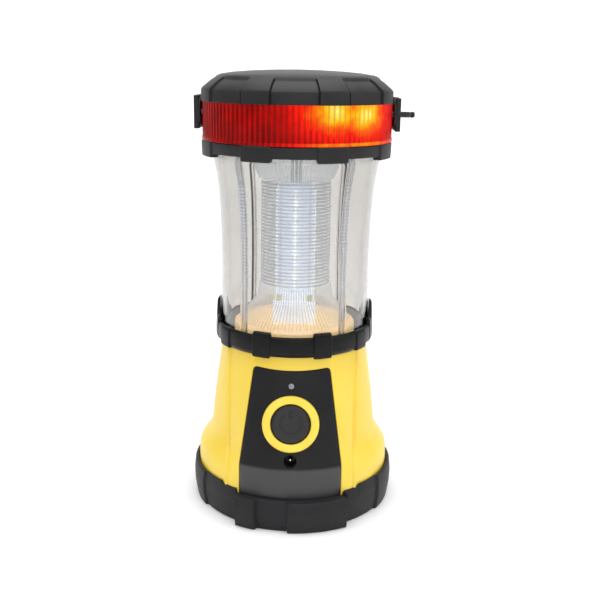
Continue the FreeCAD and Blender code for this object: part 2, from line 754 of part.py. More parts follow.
def globe():
    """Clear globe, slightly waisted, with four upright ribs inside its wall."""
    wall = d.globe_wall
    outer = [(d.globe_low_radius, d.globe_bottom), (d.globe_low_radius, d.ear_top),
             (d.globe_waist_radius, d.globe_waist_height), (d.globe_waist_radius + 0.4, 160),
             (d.globe_high_radius, d.globe_high_height), (d.globe_high_radius, d.globe_top)]
    inner = [(radius - wall, z) for radius, z in reversed(outer)]
    body = turned("globe", outer + inner)
    for angle in (-1, 1):
        for back in (0, 180):
            sketch = new_sketch(body, "Rib", lift=d.globe_bottom + 12)
            sector(sketch, d.globe_waist_radius - wall - 1.8, d.globe_waist_radius - wall + 0.8,
                   FRONT + back + angle * float(d.globe_rib_angle), 5.0)
            pad(body, sketch, d.globe_top - d.globe_bottom - 22)


def seals():
    tube("globe_seal_lower", d.globe_low_radius - 2.6, d.globe_low_radius + 0.1,
         d.neck_height + 2, d.globe_bottom)
    tube("globe_seal_upper", d.globe_high_radius - 3, d.globe_high_radius + 0.2,
         d.globe_top, d.globe_top + 1.5)


def light_column():
    """Aluminium core on a white block, four boards and their lamps."""
    width = d.column_width
    column = box_body("led_column", width, width, d.column_bottom, d.column_top)
    bore = new_sketch(column, "Bore", lift=d.column_top)
    circle(bore, 0, 0, 5.0)
    pocket(column, bore)
    block = box_body("led_base_block", d.block_width, d.block_width, d.deck_top, d.block_top)
    bore = new_sketch(block, "Bore", lift=d.block_top)
    circle(bore, 0, 0, 5.0)
    pocket(block, bore)
    ledge = box_body("night_light_block", d.block_width - 1.6, d.block_width - 1.6, d.block_top,
                     d.column_bottom)
    bore = new_sketch(ledge, "Bore", lift=d.column_bottom)
    circle(bore, 0, 0, 5.0)
    pocket(ledge, bore)


def quarter_turns(x, y, z):
    """Four placements round the axis of a thing whose face looks to -Y at x, y, z."""
    places = []
    for turn in range(4):
        rotation = FreeCAD.Rotation(FreeCAD.Vector(0, 0, 1), 90 * turn)
        places.append(FreeCAD.Placement(rotation.multVec(FreeCAD.Vector(x, y, z)), rotation))
    return places


def plain_block(label, x_size, y_size, z_size):
    master = new_body(label, kept=False)
    sketch = new_sketch(master, "Outline")
    rectangle(sketch, -x_size / 2, x_size / 2, -y_size, 0)
    pad(master, sketch, z_size)
    return master


def column_boards():
    master = plain_block("strip_master", 14.0, 1.2, 56.0)
    group("led_boards", master, quarter_turns(0, -d.column_width / 2, d.column_bottom + 1.5))
    chip = plain_block("chip_master", 2.8, 0.9, 3.5)
    face = -d.column_width / 2 - 1.2
    chips = [place for row in range(8)
             for place in quarter_turns(0, face, d.column_bottom + 4.5 + 6.6 * row)]
    group("led_chips", chip, chips)
    edge = -(d.block_width - 1.6) / 2
    warm = [place for x in (-8.2, 8.2) for place in quarter_turns(x, edge, d.block_top + 0.5)]
    group("night_light_chips", chip, warm)


def column_lenses():
    """Ribbed tube round the column and the flared clear lenses above and below it."""
    radius = d.lens_radius
    wall = d.lens_wall
    tube("diffuser_tube", radius - wall, radius, d.lens_bottom, d.lens_top)
    turned("lower_flared_lens", [
        (radius - wall, d.lens_bottom), (radius - wall + 0.6, d.lens_bottom - 8),
        (d.deck_radius - 4.5, d.deck_top + 1.6), (d.deck_radius - 4.5, d.deck_top),
        (37.4, d.deck_top), (37.4, d.deck_top + 1.6), (d.deck_radius - 2.6, d.deck_top + 1.8),
        (radius + 0.9, d.lens_bottom - 8), (radius, d.lens_bottom)])
    turned("upper_flared_lens", [
        (radius, d.lens_top), (radius + 4.2, d.lens_top + 9), (radius + 14, d.globe_top - 2),
        (39.8, d.globe_top - 2), (39.8, d.globe_top - 0.4), (radius + 13, d.globe_top - 0.4),
        (radius + 4.2 - wall, d.lens_top + 10), (radius - wall, d.lens_top)])


def wire_loom():
    """Straight run of insulated wires up the middle of the column."""
    master = new_body("wire_master", kept=False)
    sketch = new_sketch(master, "Round")
    circle(sketch, 0, 0, 0.8)
    pad(master, sketch, 130.0)
    points = spots(2.2, (0, 90, 180, 270))
    group("column_wires", master, upright(points, 72.0))


# ---------------------------------------------------------------- flasher head

def head_collar():
    """Lower half of the head: a ring with a floor, tabs below, seated on the globe."""
    seat = d.globe_high_radius + 0.4
    floor = d.globe_top + 1.5
    body = turned("head_collar", [
        (6, floor), (seat, floor), (seat, d.head_bottom), (d.head_radius - 0.6, d.head_bottom),
        (d.head_radius, d.head_bottom + 0.6), (d.head_radius, d.head_top),
        (d.band_radius - d.band_wall - 0.3, d.head_top),
        (d.band_radius - d.band_wall - 0.3, floor + 2), (6, floor + 2)])
    for centre in (-22.5, 22.5, -67.5, 67.5, -112.5, 112.5, -157.5, 157.5):
        sketch = new_sketch(body, "Tab", lift=d.tab_bottom)
        sector(sketch, seat + 2.5, d.head_radius + 0.5, FRONT + centre, 18.5)
        pad(body, sketch, d.head_top - d.tab_bottom - 1)
    for x, y in spots(d.post_circle, DIAGONALS):
        hole = new_sketch(body, "ScrewHole", lift=floor + 2)
        circle(hole, x, y, 1.7)
        pocket(body, hole, 6.0)


def red_lens():
    body = tube("red_lens", d.band_radius - d.band_wall, d.band_radius, d.head_top, d.band_top)
    hole = new_sketch(body, "PinHoles", "YZ_Plane")
    circle(hole, 0, d.pivot_height, d.pin_radius + 0.2)
    pocket(body, hole, 130.0, midplane=True)


def flasher_reflector():
    turned("flasher_reflector", [
        (9, 204.5), (d.reflector_radius, 198.6), (d.reflector_radius, 197.5),
        (d.reflector_radius - 2, 197.5), (9, 203.0)])


def flasher_board():
    top = d.flasher_board_bottom + 1.6
    body = tube("flasher_board", 4.0, 30.0, d.flasher_board_bottom, top)
    for x, y in spots(d.board_circle, DIAGONALS):
        hole = new_sketch(body, "Hole", lift=top)
        circle(hole, x, y, 1.6)
        pocket(body, hole, 3.0)


def flasher_leds():
    """Twelve round lamps lying on the board and pointing outwards."""
    master = turned("lamp_master", [
        (0, 0), (2.9, 0), (2.9, 1.0), (2.5, 1.0), (2.5, 6.2), (1.8, 8.0), (0, 8.7)], kept=False)
    places = []
    for index in range(12):
        x, y = spots(28.0, [30 * index])[0]
        aim = FreeCAD.Rotation(FreeCAD.Vector(0, 0, 1), FreeCAD.Vector(x, y, 0))
        places.append(FreeCAD.Placement(FreeCAD.Vector(x, y, d.flasher_board_bottom + 4.6), aim))
    group("flasher_leds", master, places)


def top_cap():
    """Black cap with eight raised arms, eight sunk panels between them and inner posts."""
    wall = d.cap_wall
    outer = [(d.rim_radius, d.band_top), (d.rim_radius, d.rim_top), (d.slope_radius, d.slope_top),
             (22, d.dome_top - 0.7), (0, d.dome_top)]
    inner = [(0, d.dome_top - wall), (22, d.dome_top - 0.7 - wall),
             (d.slope_radius - 1, d.slope_top - wall), (d.rim_radius - wall, d.rim_top - 1),
             (d.rim_radius - wall, d.band_top)]
    body = turned("top_cap", outer + inner)
    sink = d.cap_recess
    end = d.cap_recess_end
    step = d.dome_top - 0.7 - (d.dome_top - 0.7 - d.slope_top) * (end - 22) / (d.slope_radius - 22)
    cut = groove(body, [
        (d.rim_radius - sink, d.band_top - 1), (d.rim_radius + 2, d.band_top - 1),
        (d.rim_radius + 2, d.dome_top + 1), (end, d.dome_top + 1), (end, step - sink),
        (d.slope_radius - 0.4, d.slope_top - sink), (d.rim_radius - sink, d.rim_top - 0.5)],
        angle=float(d.cap_recess_angle))
    around(body, cut, 8)
    for circle_radius, radius, shank, low, high in (
            (d.post_circle, 3.2, d.head_shank, d.globe_top + 3.5, d.slope_top - 1.2),
            (d.board_circle, 3.0, d.board_shank, d.flasher_board_bottom + 1.6,
             d.dome_top - 2.4)):
        for x, y in spots(circle_radius, DIAGONALS):
            post = new_sketch(body, "Post", lift=low)
            circle(post, x, y, radius)
            pad(body, post, high - low)
        for x, y in spots(circle_radius, DIAGONALS):
            pilot = new_sketch(body, "Pilot", lift=low)
            circle(pilot, x, y, shank)
            pocket(body, pilot, 12.0, backwards=True)


def head_screws():
    master = screw_master("head_screw_master", 2.4, 0.9, d.head_shank, 13.0)
    group("head_screws", master, upright(spots(d.post_circle, DIAGONALS), d.globe_top + 1.5))
    master = screw_master("board_screw_master", 2.4, 1.6, d.board_shank, 8.0)
    group("board_screws", master, upright(spots(d.board_circle, DIAGONALS), d.flasher_board_bottom))
    master = screw_master("base_screw_master", 3.0, 1.2, d.base_shank, 12.0)
    group("base_screws", master,
          upright(spots(d.base_screw_circle, DIAGONALS), d.foot_lip_height + 1.2))


# ---------------------------------------------------------------- carrying handle

def carry_handle():
    """Flat U-shaped bail folded back round the head, pivoting about X."""
    thick = d.handle_thickness
    inner = d.handle_half_width
    outer = inner + thick
    straight = d.handle_straight
    bow = root(inner * inner + straight * straight)
    body = new_body("carry_handle")
    sketch = new_sketch(body, "Plan", lift=d.pivot_height)
    loop(sketch, [(inner, -6.5), (outer, -6.5), (outer, straight), (-outer, straight),
                  (-outer, -6.5), (-inner, -6.5), (-inner, straight), (inner, straight)],
         {2: (root(outer * outer + straight * straight), 1, False),
          6: (bow, -1, False)})
    pad(body, sketch, d.handle_band, midplane=True)
    hole = new_sketch(body, "PinHoles", "YZ_Plane")
    circle(hole, 0, d.pivot_height, d.pin_radius + d.pin_clearance)
    pocket(body, hole, 130.0, midplane=True)


def side_turned(label, corners):
    """A body turned about the pivot axis; its section is along-the-axis and radius."""
    body = new_body(label)
    sketch = new_sketch(body, "Section", "XY_Plane")
    loop(sketch, corners)
    feature = body.newObject("PartDesign::Revolution", "Turned")
    feature.Profile = sketch
    feature.ReferenceAxis = (sketch, ["H_Axis"])
    feature.Angle = 360
    place(body, 0, 0, d.pivot_height)
    return body


def pivot_parts():
    """A plain pin on the left, a long threaded stud with a tip on the right, and nuts."""
    inside = d.band_radius - d.band_wall - 3.4
    for name, side, end in (("pivot_pin_left", -1, d.handle_half_width + d.handle_thickness),
                            ("pivot_stud_right", 1, d.stud_end - 2.2)):
        side_turned(name, [(side * inside, 0), (side * end, 0), (side * end, d.pin_radius),
                           (side * inside, d.pin_radius)])
    tip = d.stud_end
    side_turned("stud_tip", [(tip - 2.2, 0), (tip, 0), (tip, 0.8), (tip - 0.8, 1.9),
                             (tip - 2.2, 1.9)])
    for name, side in (("pivot_nut_left", -1), ("pivot_nut_right", 1)):
        low = side * (d.band_radius - d.band_wall - 2.6)
        high = side * (d.band_radius - d.band_wall - 0.2)
        side_turned(name, [(low, d.pin_radius), (high, d.pin_radius), (high, 3.2), (low, 3.2)])
    for name, side in (("pivot_washer_left", -1), ("pivot_washer_right", 1)):
        low = side * (d.band_radius + 0.25)
        high = side * (d.handle_half_width - 0.15)
        side_turned(name, [(low, d.pin_radius), (high, d.pin_radius), (high, 3.6), (low, 3.6)])


# ---------------------------------------------------------------- build, check and write

def build():
    foot_bumper()
    base_plate()
    lower_shell()
    control_panel()
    button_ring()
    power_button()
    button_dome()
    switch_board()
    indicator_led()
    dc_jack()
    jack_pin()
    battery_tray()
    battery_cells()
    cell_links()
    battery_clamp()
    driver_mounting()
    main_board()
    driver_parts()
    mid_collar()
    collar_screws()
    deck_plate()
    globe()
    seals()
    light_column()
    column_boards()
    column_lenses()
    wire_loom()
    head_collar()
    red_lens()
    flasher_reflector()
    flasher_board()
    flasher_leds()
    top_cap()
    head_screws()
    carry_handle()
    pivot_parts()


def check():
    doc.recompute()
    for item in doc.Objects:
        if "Invalid" in item.State or "Error" in item.State:
            raise RuntimeError(f"{item.Label} ({item.TypeId}) failed: {item.State}")
    for item in exported:
        if item.Shape.isNull() or not item.Shape.isValid():
            raise RuntimeError(f"{item.Label} has no valid shape")


def write():
    os.makedirs("parts", exist_ok=True)
    for item in exported:
        item.Shape.exportStep(f"parts/{item.Label}.step")
        bounds = item.Shape.BoundBox
        print(f"{item.Label:20s} solids {len(item.Shape.Solids):2d} volume {item.Shape.Volume:10.1f} "
              f"z {bounds.ZMin:7.2f} to {bounds.ZMax:7.2f}")


build()
check()
write()
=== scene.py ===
"""Camping lantern with a red flasher head: the looks built round its engineering frame.

Everything is in metres in the frame's own axes: Z up the lantern, -Y out of the control
panel, angle 0 at the front and positive angles towards +X. Lengths written in this file are
millimetres and go through mm().
"""

import json
import math

import bmesh
import bpy
from mathutils import Matrix, Vector

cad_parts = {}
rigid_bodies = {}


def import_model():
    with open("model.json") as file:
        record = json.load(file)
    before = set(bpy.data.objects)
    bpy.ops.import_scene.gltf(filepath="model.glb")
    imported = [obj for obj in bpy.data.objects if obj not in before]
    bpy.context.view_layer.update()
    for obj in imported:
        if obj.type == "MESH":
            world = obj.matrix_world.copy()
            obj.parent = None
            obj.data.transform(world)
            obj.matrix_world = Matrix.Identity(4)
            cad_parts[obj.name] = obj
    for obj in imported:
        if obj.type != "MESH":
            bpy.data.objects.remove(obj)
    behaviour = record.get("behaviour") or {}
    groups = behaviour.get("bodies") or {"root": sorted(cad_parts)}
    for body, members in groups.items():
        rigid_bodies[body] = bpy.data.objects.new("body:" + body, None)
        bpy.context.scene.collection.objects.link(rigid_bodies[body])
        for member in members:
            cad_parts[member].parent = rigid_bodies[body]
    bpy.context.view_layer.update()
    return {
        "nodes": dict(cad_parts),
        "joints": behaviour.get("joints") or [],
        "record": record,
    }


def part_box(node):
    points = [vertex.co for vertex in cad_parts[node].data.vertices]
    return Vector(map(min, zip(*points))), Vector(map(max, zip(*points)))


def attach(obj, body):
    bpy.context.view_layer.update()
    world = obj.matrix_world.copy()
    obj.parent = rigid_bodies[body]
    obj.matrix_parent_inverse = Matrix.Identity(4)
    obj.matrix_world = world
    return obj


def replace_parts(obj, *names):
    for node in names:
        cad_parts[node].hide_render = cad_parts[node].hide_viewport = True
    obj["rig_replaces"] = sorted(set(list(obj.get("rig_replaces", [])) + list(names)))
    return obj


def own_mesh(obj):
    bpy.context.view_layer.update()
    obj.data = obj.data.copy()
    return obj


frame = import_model()

bl_info = {
    "name": "Camping Lantern Dresser",
    "version": (1, 0, 0),
    "blender": (4, 5, 0),
    "location": "View3D > Sidebar > Lantern",
    "description": "Builds the moulded, clear and metal pieces of a camping lantern",
    "category": "Object",
}


# ------------------------------------------------------------------ sizes from the frame

def mm(value):
    return value * 0.001


def extent(node):
    """Lowest and highest corner of a CAD node, in millimetres."""
    low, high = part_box(node)
    return [value * 1000 for value in low], [value * 1000 for value in high]


HEAD_TOP = extent("head_collar")[1][2]
BAND_TOP = extent("red_lens")[1][2]
BAND_RADIUS = extent("red_lens")[1][0]
DOME_TOP = extent("top_cap")[1][2]
GLOBE_LOW, GLOBE_HIGH = extent("globe")[0][2], extent("globe")[1][2]
LUG_LOW = extent("mid_collar")[0][2]
EAR_TOP = extent("mid_collar")[1][2]
SHELL_LOW, SHELL_TOP = extent("lower_shell")[0][2], extent("lower_shell")[1][2]
PANEL_LOW, PANEL_TOP = extent("control_panel")[0][2], extent("control_panel")[1][2]
TUBE_LOW, TUBE_TOP = extent("diffuser_tube")[0][2], extent("diffuser_tube")[1][2]
DECK_TOP = extent("deck_plate")[1][2]
PIVOT = [value * 1000 for value in
         next(j for j in frame["joints"] if j["name"] == "handle_swing")["pos_m"]]
PRESS_AXIS = Vector(next(j for j in frame["joints"] if j["name"] == "button_press")["axis"])

KNEE = 33.0
KNEE_DEPTH = 51.0
PANEL_TOP_DEPTH = 40.5
PANEL_LOW_DEPTH = 52.5
FOOT_HALF, TOP_HALF = 26.8, 19.7
FOOT_BOW, TOP_BOW = 6.5, 3.4
CORNER = 2.6
DIP = 1.5
BUTTON_HEIGHT = 56.4
LED_RISE = 19.8
INLET_RISE = -19.6
CREASE = 34.0
STUD_END = 59.3
# Angle and height of the two spots where the red lens glows.
GLOW_SPOTS = ((24.0, 215.5), (44.0, 214.0))
# A surface lamp's width, thickness and height.
LAMP_SIZE = (2.8, 0.9, 3.5)


class LanternSizes(bpy.types.PropertyGroup):
    """Sizes a user may want to change without touching the frame."""
    lens_flutes: bpy.props.IntProperty(
        name="Lens flutes", description="Upright flutes round the red lens", default=108)
    tube_ribs: bpy.props.IntProperty(
        name="Tube ribs", description="Level ribs on the clear tube", default=30)
    cone_flutes: bpy.props.IntProperty(
        name="Cone flutes", description="Flutes round the flared clear lenses", default=96)
    grain: bpy.props.FloatProperty(
        name="Mould grain", description="Size of the moulded surface grain",
        default=mm(0.5), unit="LENGTH")


class LanternColours(bpy.types.PropertyGroup):
    """Colours of the mouldings, as sRGB hex."""
    housing: bpy.props.StringProperty(
        name="Housing", description="Colour of the lower housing", default="#F1D34C")
    black: bpy.props.StringProperty(
        name="Black mouldings", description="Colour of the black plastic", default="#151518")
    lens: bpy.props.StringProperty(
        name="Flasher lens", description="Colour of the red lens", default="#A60A05")
    deck: bpy.props.StringProperty(
        name="Reflector deck", description="Colour of the deck under the column",
        default="#FFC45C")


# ------------------------------------------------------------------ node and mesh helpers

def linear(code):
    """Linear RGBA from an sRGB hex value."""
    values = [int(code[i:i + 2], 16) / 255 for i in (1, 3, 5)]
    return [v / 12.92 if v <= 0.04045 else ((v + 0.055) / 1.055) ** 2.4 for v in values] + [1.0]


def add_node(tree, kind, inputs=None, **settings):
    """Add a node; settings name sockets or attributes, inputs are links or plain values."""
    node = tree.nodes.new(kind)
    for name, value in settings.items():
        socket = node.inputs.get(name.replace("_", " "))
        if socket is None:
            setattr(node, name, value)
        else:
            socket.default_value = value
    for name, source in (inputs or {}).items():
        if isinstance(source, bpy.types.NodeSocket):
            tree.links.new(source, node.inputs[name])
        else:
            node.inputs[name].default_value = source
    return node


def mesh_object(name, points, faces, material, smooth_angle=35):
    """A mesh in metres from points in millimetres, outward, welded and smooth by angle."""
    mesh = bpy.data.meshes.new(name)
    mesh.from_pydata([[mm(c) for c in point] for point in points], [], faces)
    shape = bmesh.new()
    shape.from_mesh(mesh)
    bmesh.ops.remove_doubles(shape, verts=shape.verts, dist=mm(0.001))
    # A section that reaches the axis leaves a bare edge between its two poles.
    bare = [edge for edge in shape.edges if not edge.link_faces]
    bmesh.ops.delete(shape, geom=bare, context="EDGES")
    bmesh.ops.recalc_face_normals(shape, faces=shape.faces)
    shape.to_mesh(mesh)
    shape.free()
    return finish_object(name, mesh, material, smooth_angle)


def finish_object(name, mesh, material, smooth_angle=35):
    mesh.shade_smooth()
    mesh.set_sharp_from_angle(angle=math.radians(smooth_angle))
    mesh.materials.clear()
    mesh.materials.append(material)
    piece = bpy.data.objects.new(name, mesh)
    bpy.context.scene.collection.objects.link(piece)
    return piece


def settle(piece, body, slot, *nodes):
    """Ride on a body and stand for CAD nodes; slot is not used."""
    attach(piece, body)
    if nodes:
        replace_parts(piece, *nodes)
    return piece


def polar(radius, angle, z):
    """A point at an angle in degrees from the front."""
    turn = math.radians(angle)
    return (radius * math.sin(turn), -radius * math.cos(turn), z)


def ring_mesh(name, angles, section, material, smooth_angle=35):
    """A closed ring whose half section may change with the angle."""
    rows = [[polar(r, angle, z) for r, z in section(angle)] for angle in angles]
    count = len(rows[0])
    points = [point for row in rows for point in row]
    faces = []
    for i in range(len(rows)):
        following = (i + 1) % len(rows)
        for j in range(count):
            k = (j + 1) % count
            faces.append((i * count + j, following * count + j,
                          following * count + k, i * count + k))
    return mesh_object(name, points, faces, material, smooth_angle)


def even(count):
    return [360 * i / count for i in range(count)]


def angles_near(edges, coarse=2.0, fine=0.3, reach=1.5):
    """Angles round the circle, closer together beside each edge."""
    angles = {round(i * coarse, 4) for i in range(int(360 / coarse))}
    steps = int(reach / fine)
    for edge in edges:
        angles |= {round((edge + k * fine) % 360, 4) for k in range(-steps, steps + 1)}
    return sorted(angles)


def ease(value):
    """Smooth step from 0 to 1."""
    value = min(max(value, 0.0), 1.0)
    return value * value * (3 - 2 * value)


def window(angle, centre, width, soft=0.9):
    """1 inside a band of angles, 0 outside, eased over soft degrees at its edges."""
    gap = abs((angle - centre + 180) % 360 - 180)
    return ease((width / 2 + soft / 2 - gap) / soft)


def band_edges(bands):
    return [centre + side * width / 2 for centre, width in bands for side in (-1, 1)]


def rounded(corners, radius=0.6, steps=3):
    """A closed outline in which each corner is an arc-like curve of the given size."""
    outline = []
    count = len(corners)
    for i, corner in enumerate(corners):
        here = Vector(corner)
        before = Vector(corners[i - 1]) - here
        after = Vector(corners[(i + 1) % count]) - here
        size = min(radius, before.length * 0.45, after.length * 0.45)
        start = here + before.normalized() * size
        end = here + after.normalized() * size
        for k in range(steps + 1):
            t = k / steps
            point = start * (1 - t) ** 2 + here * 2 * t * (1 - t) + end * t ** 2
            outline.append(tuple(point))
    return outline


def lathe(name, corners, material, radius=0.5, count=128):
    """A turned piece from the corners of its half section, edges rounded."""
    outline = rounded(corners, radius) if radius else corners
    return ring_mesh(name, even(count), lambda angle: outline, material)


def turned_solid(name, profile, material, count=96):
    """A turned piece that closes on its axis; profile runs from axis to axis."""
    points = [(0.0, 0.0, profile[0][1])]
    inner = profile[1:-1]
    for r, z in inner:
        points += [polar(r, angle, z) for angle in even(count)]
    points.append((0.0, 0.0, profile[-1][1]))
    last = len(points) - 1
    faces = []
    for i in range(count):
        k = (i + 1) % count
        faces.append((0, 1 + k, 1 + i))
        for row in range(len(inner) - 1):
            base, above = 1 + row * count, 1 + (row + 1) * count
            faces.append((base + i, base + k, above + k, above + i))
        top = 1 + (len(inner) - 1) * count
        faces.append((last, top + i, top + k))
    return mesh_object(name, points, faces, material)


def spline(points, value):
    """Height-to-radius curve through (z, radius) points, smooth at each of them."""
    points = [points[0]] + points + [points[-1]]
    for i in range(1, len(points) - 2):
        low, high = points[i], points[i + 1]
        if value <= high[0] or i == len(points) - 3:
            span = high[0] - low[0]
            t = min(max((value - low[0]) / span, 0.0), 1.0)
            slopes = []
            for a, b in ((points[i - 1], high), (low, points[i + 2])):
                slopes.append((b[1] - a[1]) / max(b[0] - a[0], 1e-6) * span)
            return ((2 * t ** 3 - 3 * t ** 2 + 1) * low[1] + (t ** 3 - 2 * t ** 2 + t) * slopes[0]
                    + (3 * t ** 2 - 2 * t ** 3) * high[1] + (t ** 3 - t ** 2) * slopes[1])
    return points[-1][1]


def on_panel(piece, rise=0.0):
    """Stand a piece made about Z on the leaning panel, at a distance up from the button."""
    outwards = -PRESS_AXIS
    up = Vector((1, 0, 0)).cross(outwards) * -1
    centre = Vector((0, -mm(front_depth(BUTTON_HEIGHT)), mm(BUTTON_HEIGHT))) + up * mm(rise)
    turn = Matrix((Vector((1, 0, 0)), up, outwards)).transposed().to_4x4()
    piece.data.transform(Matrix.Translation(centre) @ turn)
    piece.data.update()
    return piece


def drill(piece, holes, material):
    """Cut round holes, given as (distance up from the button, radius), square to the panel."""
    cutters = []
    for rise, radius in holes:
        profile = [(0, -12), (radius, -12), (radius, 8), (0, 8)]
        cutters.append(on_panel(turned_solid("cutter", profile, material, 64), rise))
    cutter = joined("cutter", cutters)
    cut = piece.modifiers.new("Holes", "BOOLEAN")
    cut.operation = "DIFFERENCE"
    cut.solver = "EXACT"
    cut.use_self = True
    cut.object = cutter
    apply_modifiers(piece)
    bpy.data.objects.remove(cutter, do_unlink=True)
    shape = bmesh.new()
    shape.from_mesh(piece.data)
    bmesh.ops.remove_doubles(shape, verts=shape.verts, dist=mm(0.002))
    bmesh.ops.dissolve_degenerate(shape, edges=shape.edges, dist=mm(0.001))
    shape.to_mesh(piece.data)
    shape.free()
    piece.data.set_sharp_from_angle(angle=math.radians(30))


def softened_copy(node, material, width, body="lantern"):
    """A CAD node's own shape with rounded edges, standing for the node."""
    source = frame["nodes"][node]
    mesh = source.data.copy()
    shape = bmesh.new()
    shape.from_mesh(mesh)
    bmesh.ops.remove_doubles(shape, verts=shape.verts, dist=mm(0.002))
    bmesh.ops.dissolve_limit(shape, angle_limit=math.radians(2), verts=shape.verts,
                             edges=shape.edges)
    shape.to_mesh(mesh)
    shape.free()
    piece = finish_object(node + "_moulding", mesh, material, 30)
    bevel = piece.modifiers.new("Rounding", "BEVEL")
    bevel.width = mm(width)
    bevel.segments = 3
    bevel.limit_method = "ANGLE"
    bevel.angle_limit = math.radians(35)
    bevel.use_clamp_overlap = True
    apply_modifiers(piece)
    piece.data.set_sharp_from_angle(angle=math.radians(35))
    return settle(piece, body, slot_of(node), node)


def slot_of(node):
    return next(part["material_slot"] for part in frame["record"]["subparts"]
                if part["node"] == node)


def apply_modifiers(piece):
    bpy.context.view_layer.update()
    result = piece.evaluated_get(bpy.context.evaluated_depsgraph_get())
    mesh = bpy.data.meshes.new_from_object(result)
    piece.modifiers.clear()
    piece.data = mesh


def joined(name, pieces):
    """One object from several, keeping their meshes where they are."""
    shape = bmesh.new()
    for piece in pieces:
        shape.from_mesh(piece.data)
    mesh = bpy.data.meshes.new(name)
    shape.to_mesh(mesh)
    shape.free()
    material = pieces[0].data.materials[0]
    for piece in pieces:
        bpy.data.objects.remove(piece, do_unlink=True)
    return finish_object(name, mesh, material)


# ------------------------------------------------------------------ geometry node trees

def new_tree(name, inputs):
    """A geometry tree with named inputs given as (name, socket type)."""
    tree = bpy.data.node_groups.new(name, "GeometryNodeTree")
    for label, kind in inputs:
        tree.interface.new_socket(label, in_out="INPUT", socket_type=kind)
    tree.interface.new_socket("Geometry", in_out="OUTPUT", socket_type="NodeSocketGeometry")
    given = add_node(tree, "NodeGroupInput")
    return tree, given.outputs


def close_tree(tree, geometry, material):
    """Realize, give the material and send the result out."""
    real = add_node(tree, "GeometryNodeRealizeInstances", {"Geometry": geometry})
    painted = add_node(tree, "GeometryNodeSetMaterial",
                       {"Geometry": real.outputs["Geometry"], "Material": material})
    add_node(tree, "NodeGroupOutput", {"Geometry": painted.outputs["Geometry"]})


def grow(name, tree, values, material):
    """Run a tree with the given inputs and keep the result as a plain mesh piece."""
    holder = bpy.data.objects.new(name, bpy.data.meshes.new(name))
    bpy.context.scene.collection.objects.link(holder)
    modifier = holder.modifiers.new("Grow", "NODES")
    modifier.node_group = tree
    for item in tree.interface.items_tree:
        if item.in_out == "INPUT" and item.name in values:
            modifier[item.identifier] = values[item.name]
        if item.in_out == "INPUT" and item.name == "Material":
            modifier[item.identifier] = material
    bpy.context.view_layer.update()
    result = holder.evaluated_get(bpy.context.evaluated_depsgraph_get())
    mesh = bpy.data.meshes.new_from_object(result)
    bpy.data.objects.remove(holder, do_unlink=True)
    return finish_object(name, mesh, material)


def stacked_rings_tree():
    """Round-section rings one above another."""
    tree, given = new_tree("Stacked rings", [
        ("Count", "NodeSocketInt"), ("Pitch", "NodeSocketFloat"), ("Start", "NodeSocketFloat"),
        ("Ring radius", "NodeSocketFloat"), ("Bead radius", "NodeSocketFloat"),
        ("Material", "NodeSocketMaterial")])
    step = add_node(tree, "ShaderNodeCombineXYZ", {"Z": given["Pitch"]})
    start = add_node(tree, "ShaderNodeCombineXYZ", {"Z": given["Start"]})
    line = add_node(tree, "GeometryNodeMeshLine",
                    {"Count": given["Count"], "Start Location": start.outputs[0],
                     "Offset": step.outputs[0]})
    hoop = add_node(tree, "GeometryNodeCurvePrimitiveCircle",
                    {"Radius": given["Ring radius"]}, Resolution=96)
    bead = add_node(tree, "GeometryNodeCurvePrimitiveCircle",
                    {"Radius": given["Bead radius"]}, Resolution=8)
    ring = add_node(tree, "GeometryNodeCurveToMesh",
                    {"Curve": hoop.outputs["Curve"], "Profile Curve": bead.outputs["Curve"]})
    rings = add_node(tree, "GeometryNodeInstanceOnPoints",
                     {"Points": line.outputs["Mesh"], "Instance": ring.outputs["Mesh"]})
    close_tree(tree, rings.outputs["Instances"], given["Material"])
    return tree


def sloping_flutes_tree():
    """Slim round bars set round the axis, each leaning outwards by the same angle."""
    tree, given = new_tree("Sloping flutes", [
        ("Count", "NodeSocketInt"), ("Radius", "NodeSocketFloat"), ("Height", "NodeSocketFloat"),
        ("Lean", "NodeSocketFloat"), ("Length", "NodeSocketFloat"), ("Bar", "NodeSocketFloat"),
        ("Material", "NodeSocketMaterial")])
    circle = add_node(tree, "GeometryNodeMeshCircle",
                      {"Vertices": given["Count"], "Radius": given["Radius"]})
    lift = add_node(tree, "ShaderNodeCombineXYZ", {"Z": given["Height"]})
    raised = add_node(tree, "GeometryNodeSetPosition",
                      {"Geometry": circle.outputs["Mesh"], "Offset": lift.outputs[0]})
    bar = add_node(tree, "GeometryNodeMeshCylinder",
                   {"Radius": given["Bar"], "Depth": given["Length"]}, Vertices=6)
    place = add_node(tree, "GeometryNodeInputPosition")
    parts = add_node(tree, "ShaderNodeSeparateXYZ", {"Vector": place.outputs[0]})
    turn = add_node(tree, "ShaderNodeMath",
                    {0: parts.outputs["Y"], 1: parts.outputs["X"]}, operation="ARCTAN2")
    angles = add_node(tree, "ShaderNodeCombineXYZ", {"Y": given["Lean"], "Z": turn.outputs[0]})
    bars = add_node(tree, "GeometryNodeInstanceOnPoints",
                    {"Points": raised.outputs["Geometry"], "Instance": bar.outputs["Mesh"],
                     "Rotation": angles.outputs[0]})
    close_tree(tree, bars.outputs["Instances"], given["Material"])
    return tree


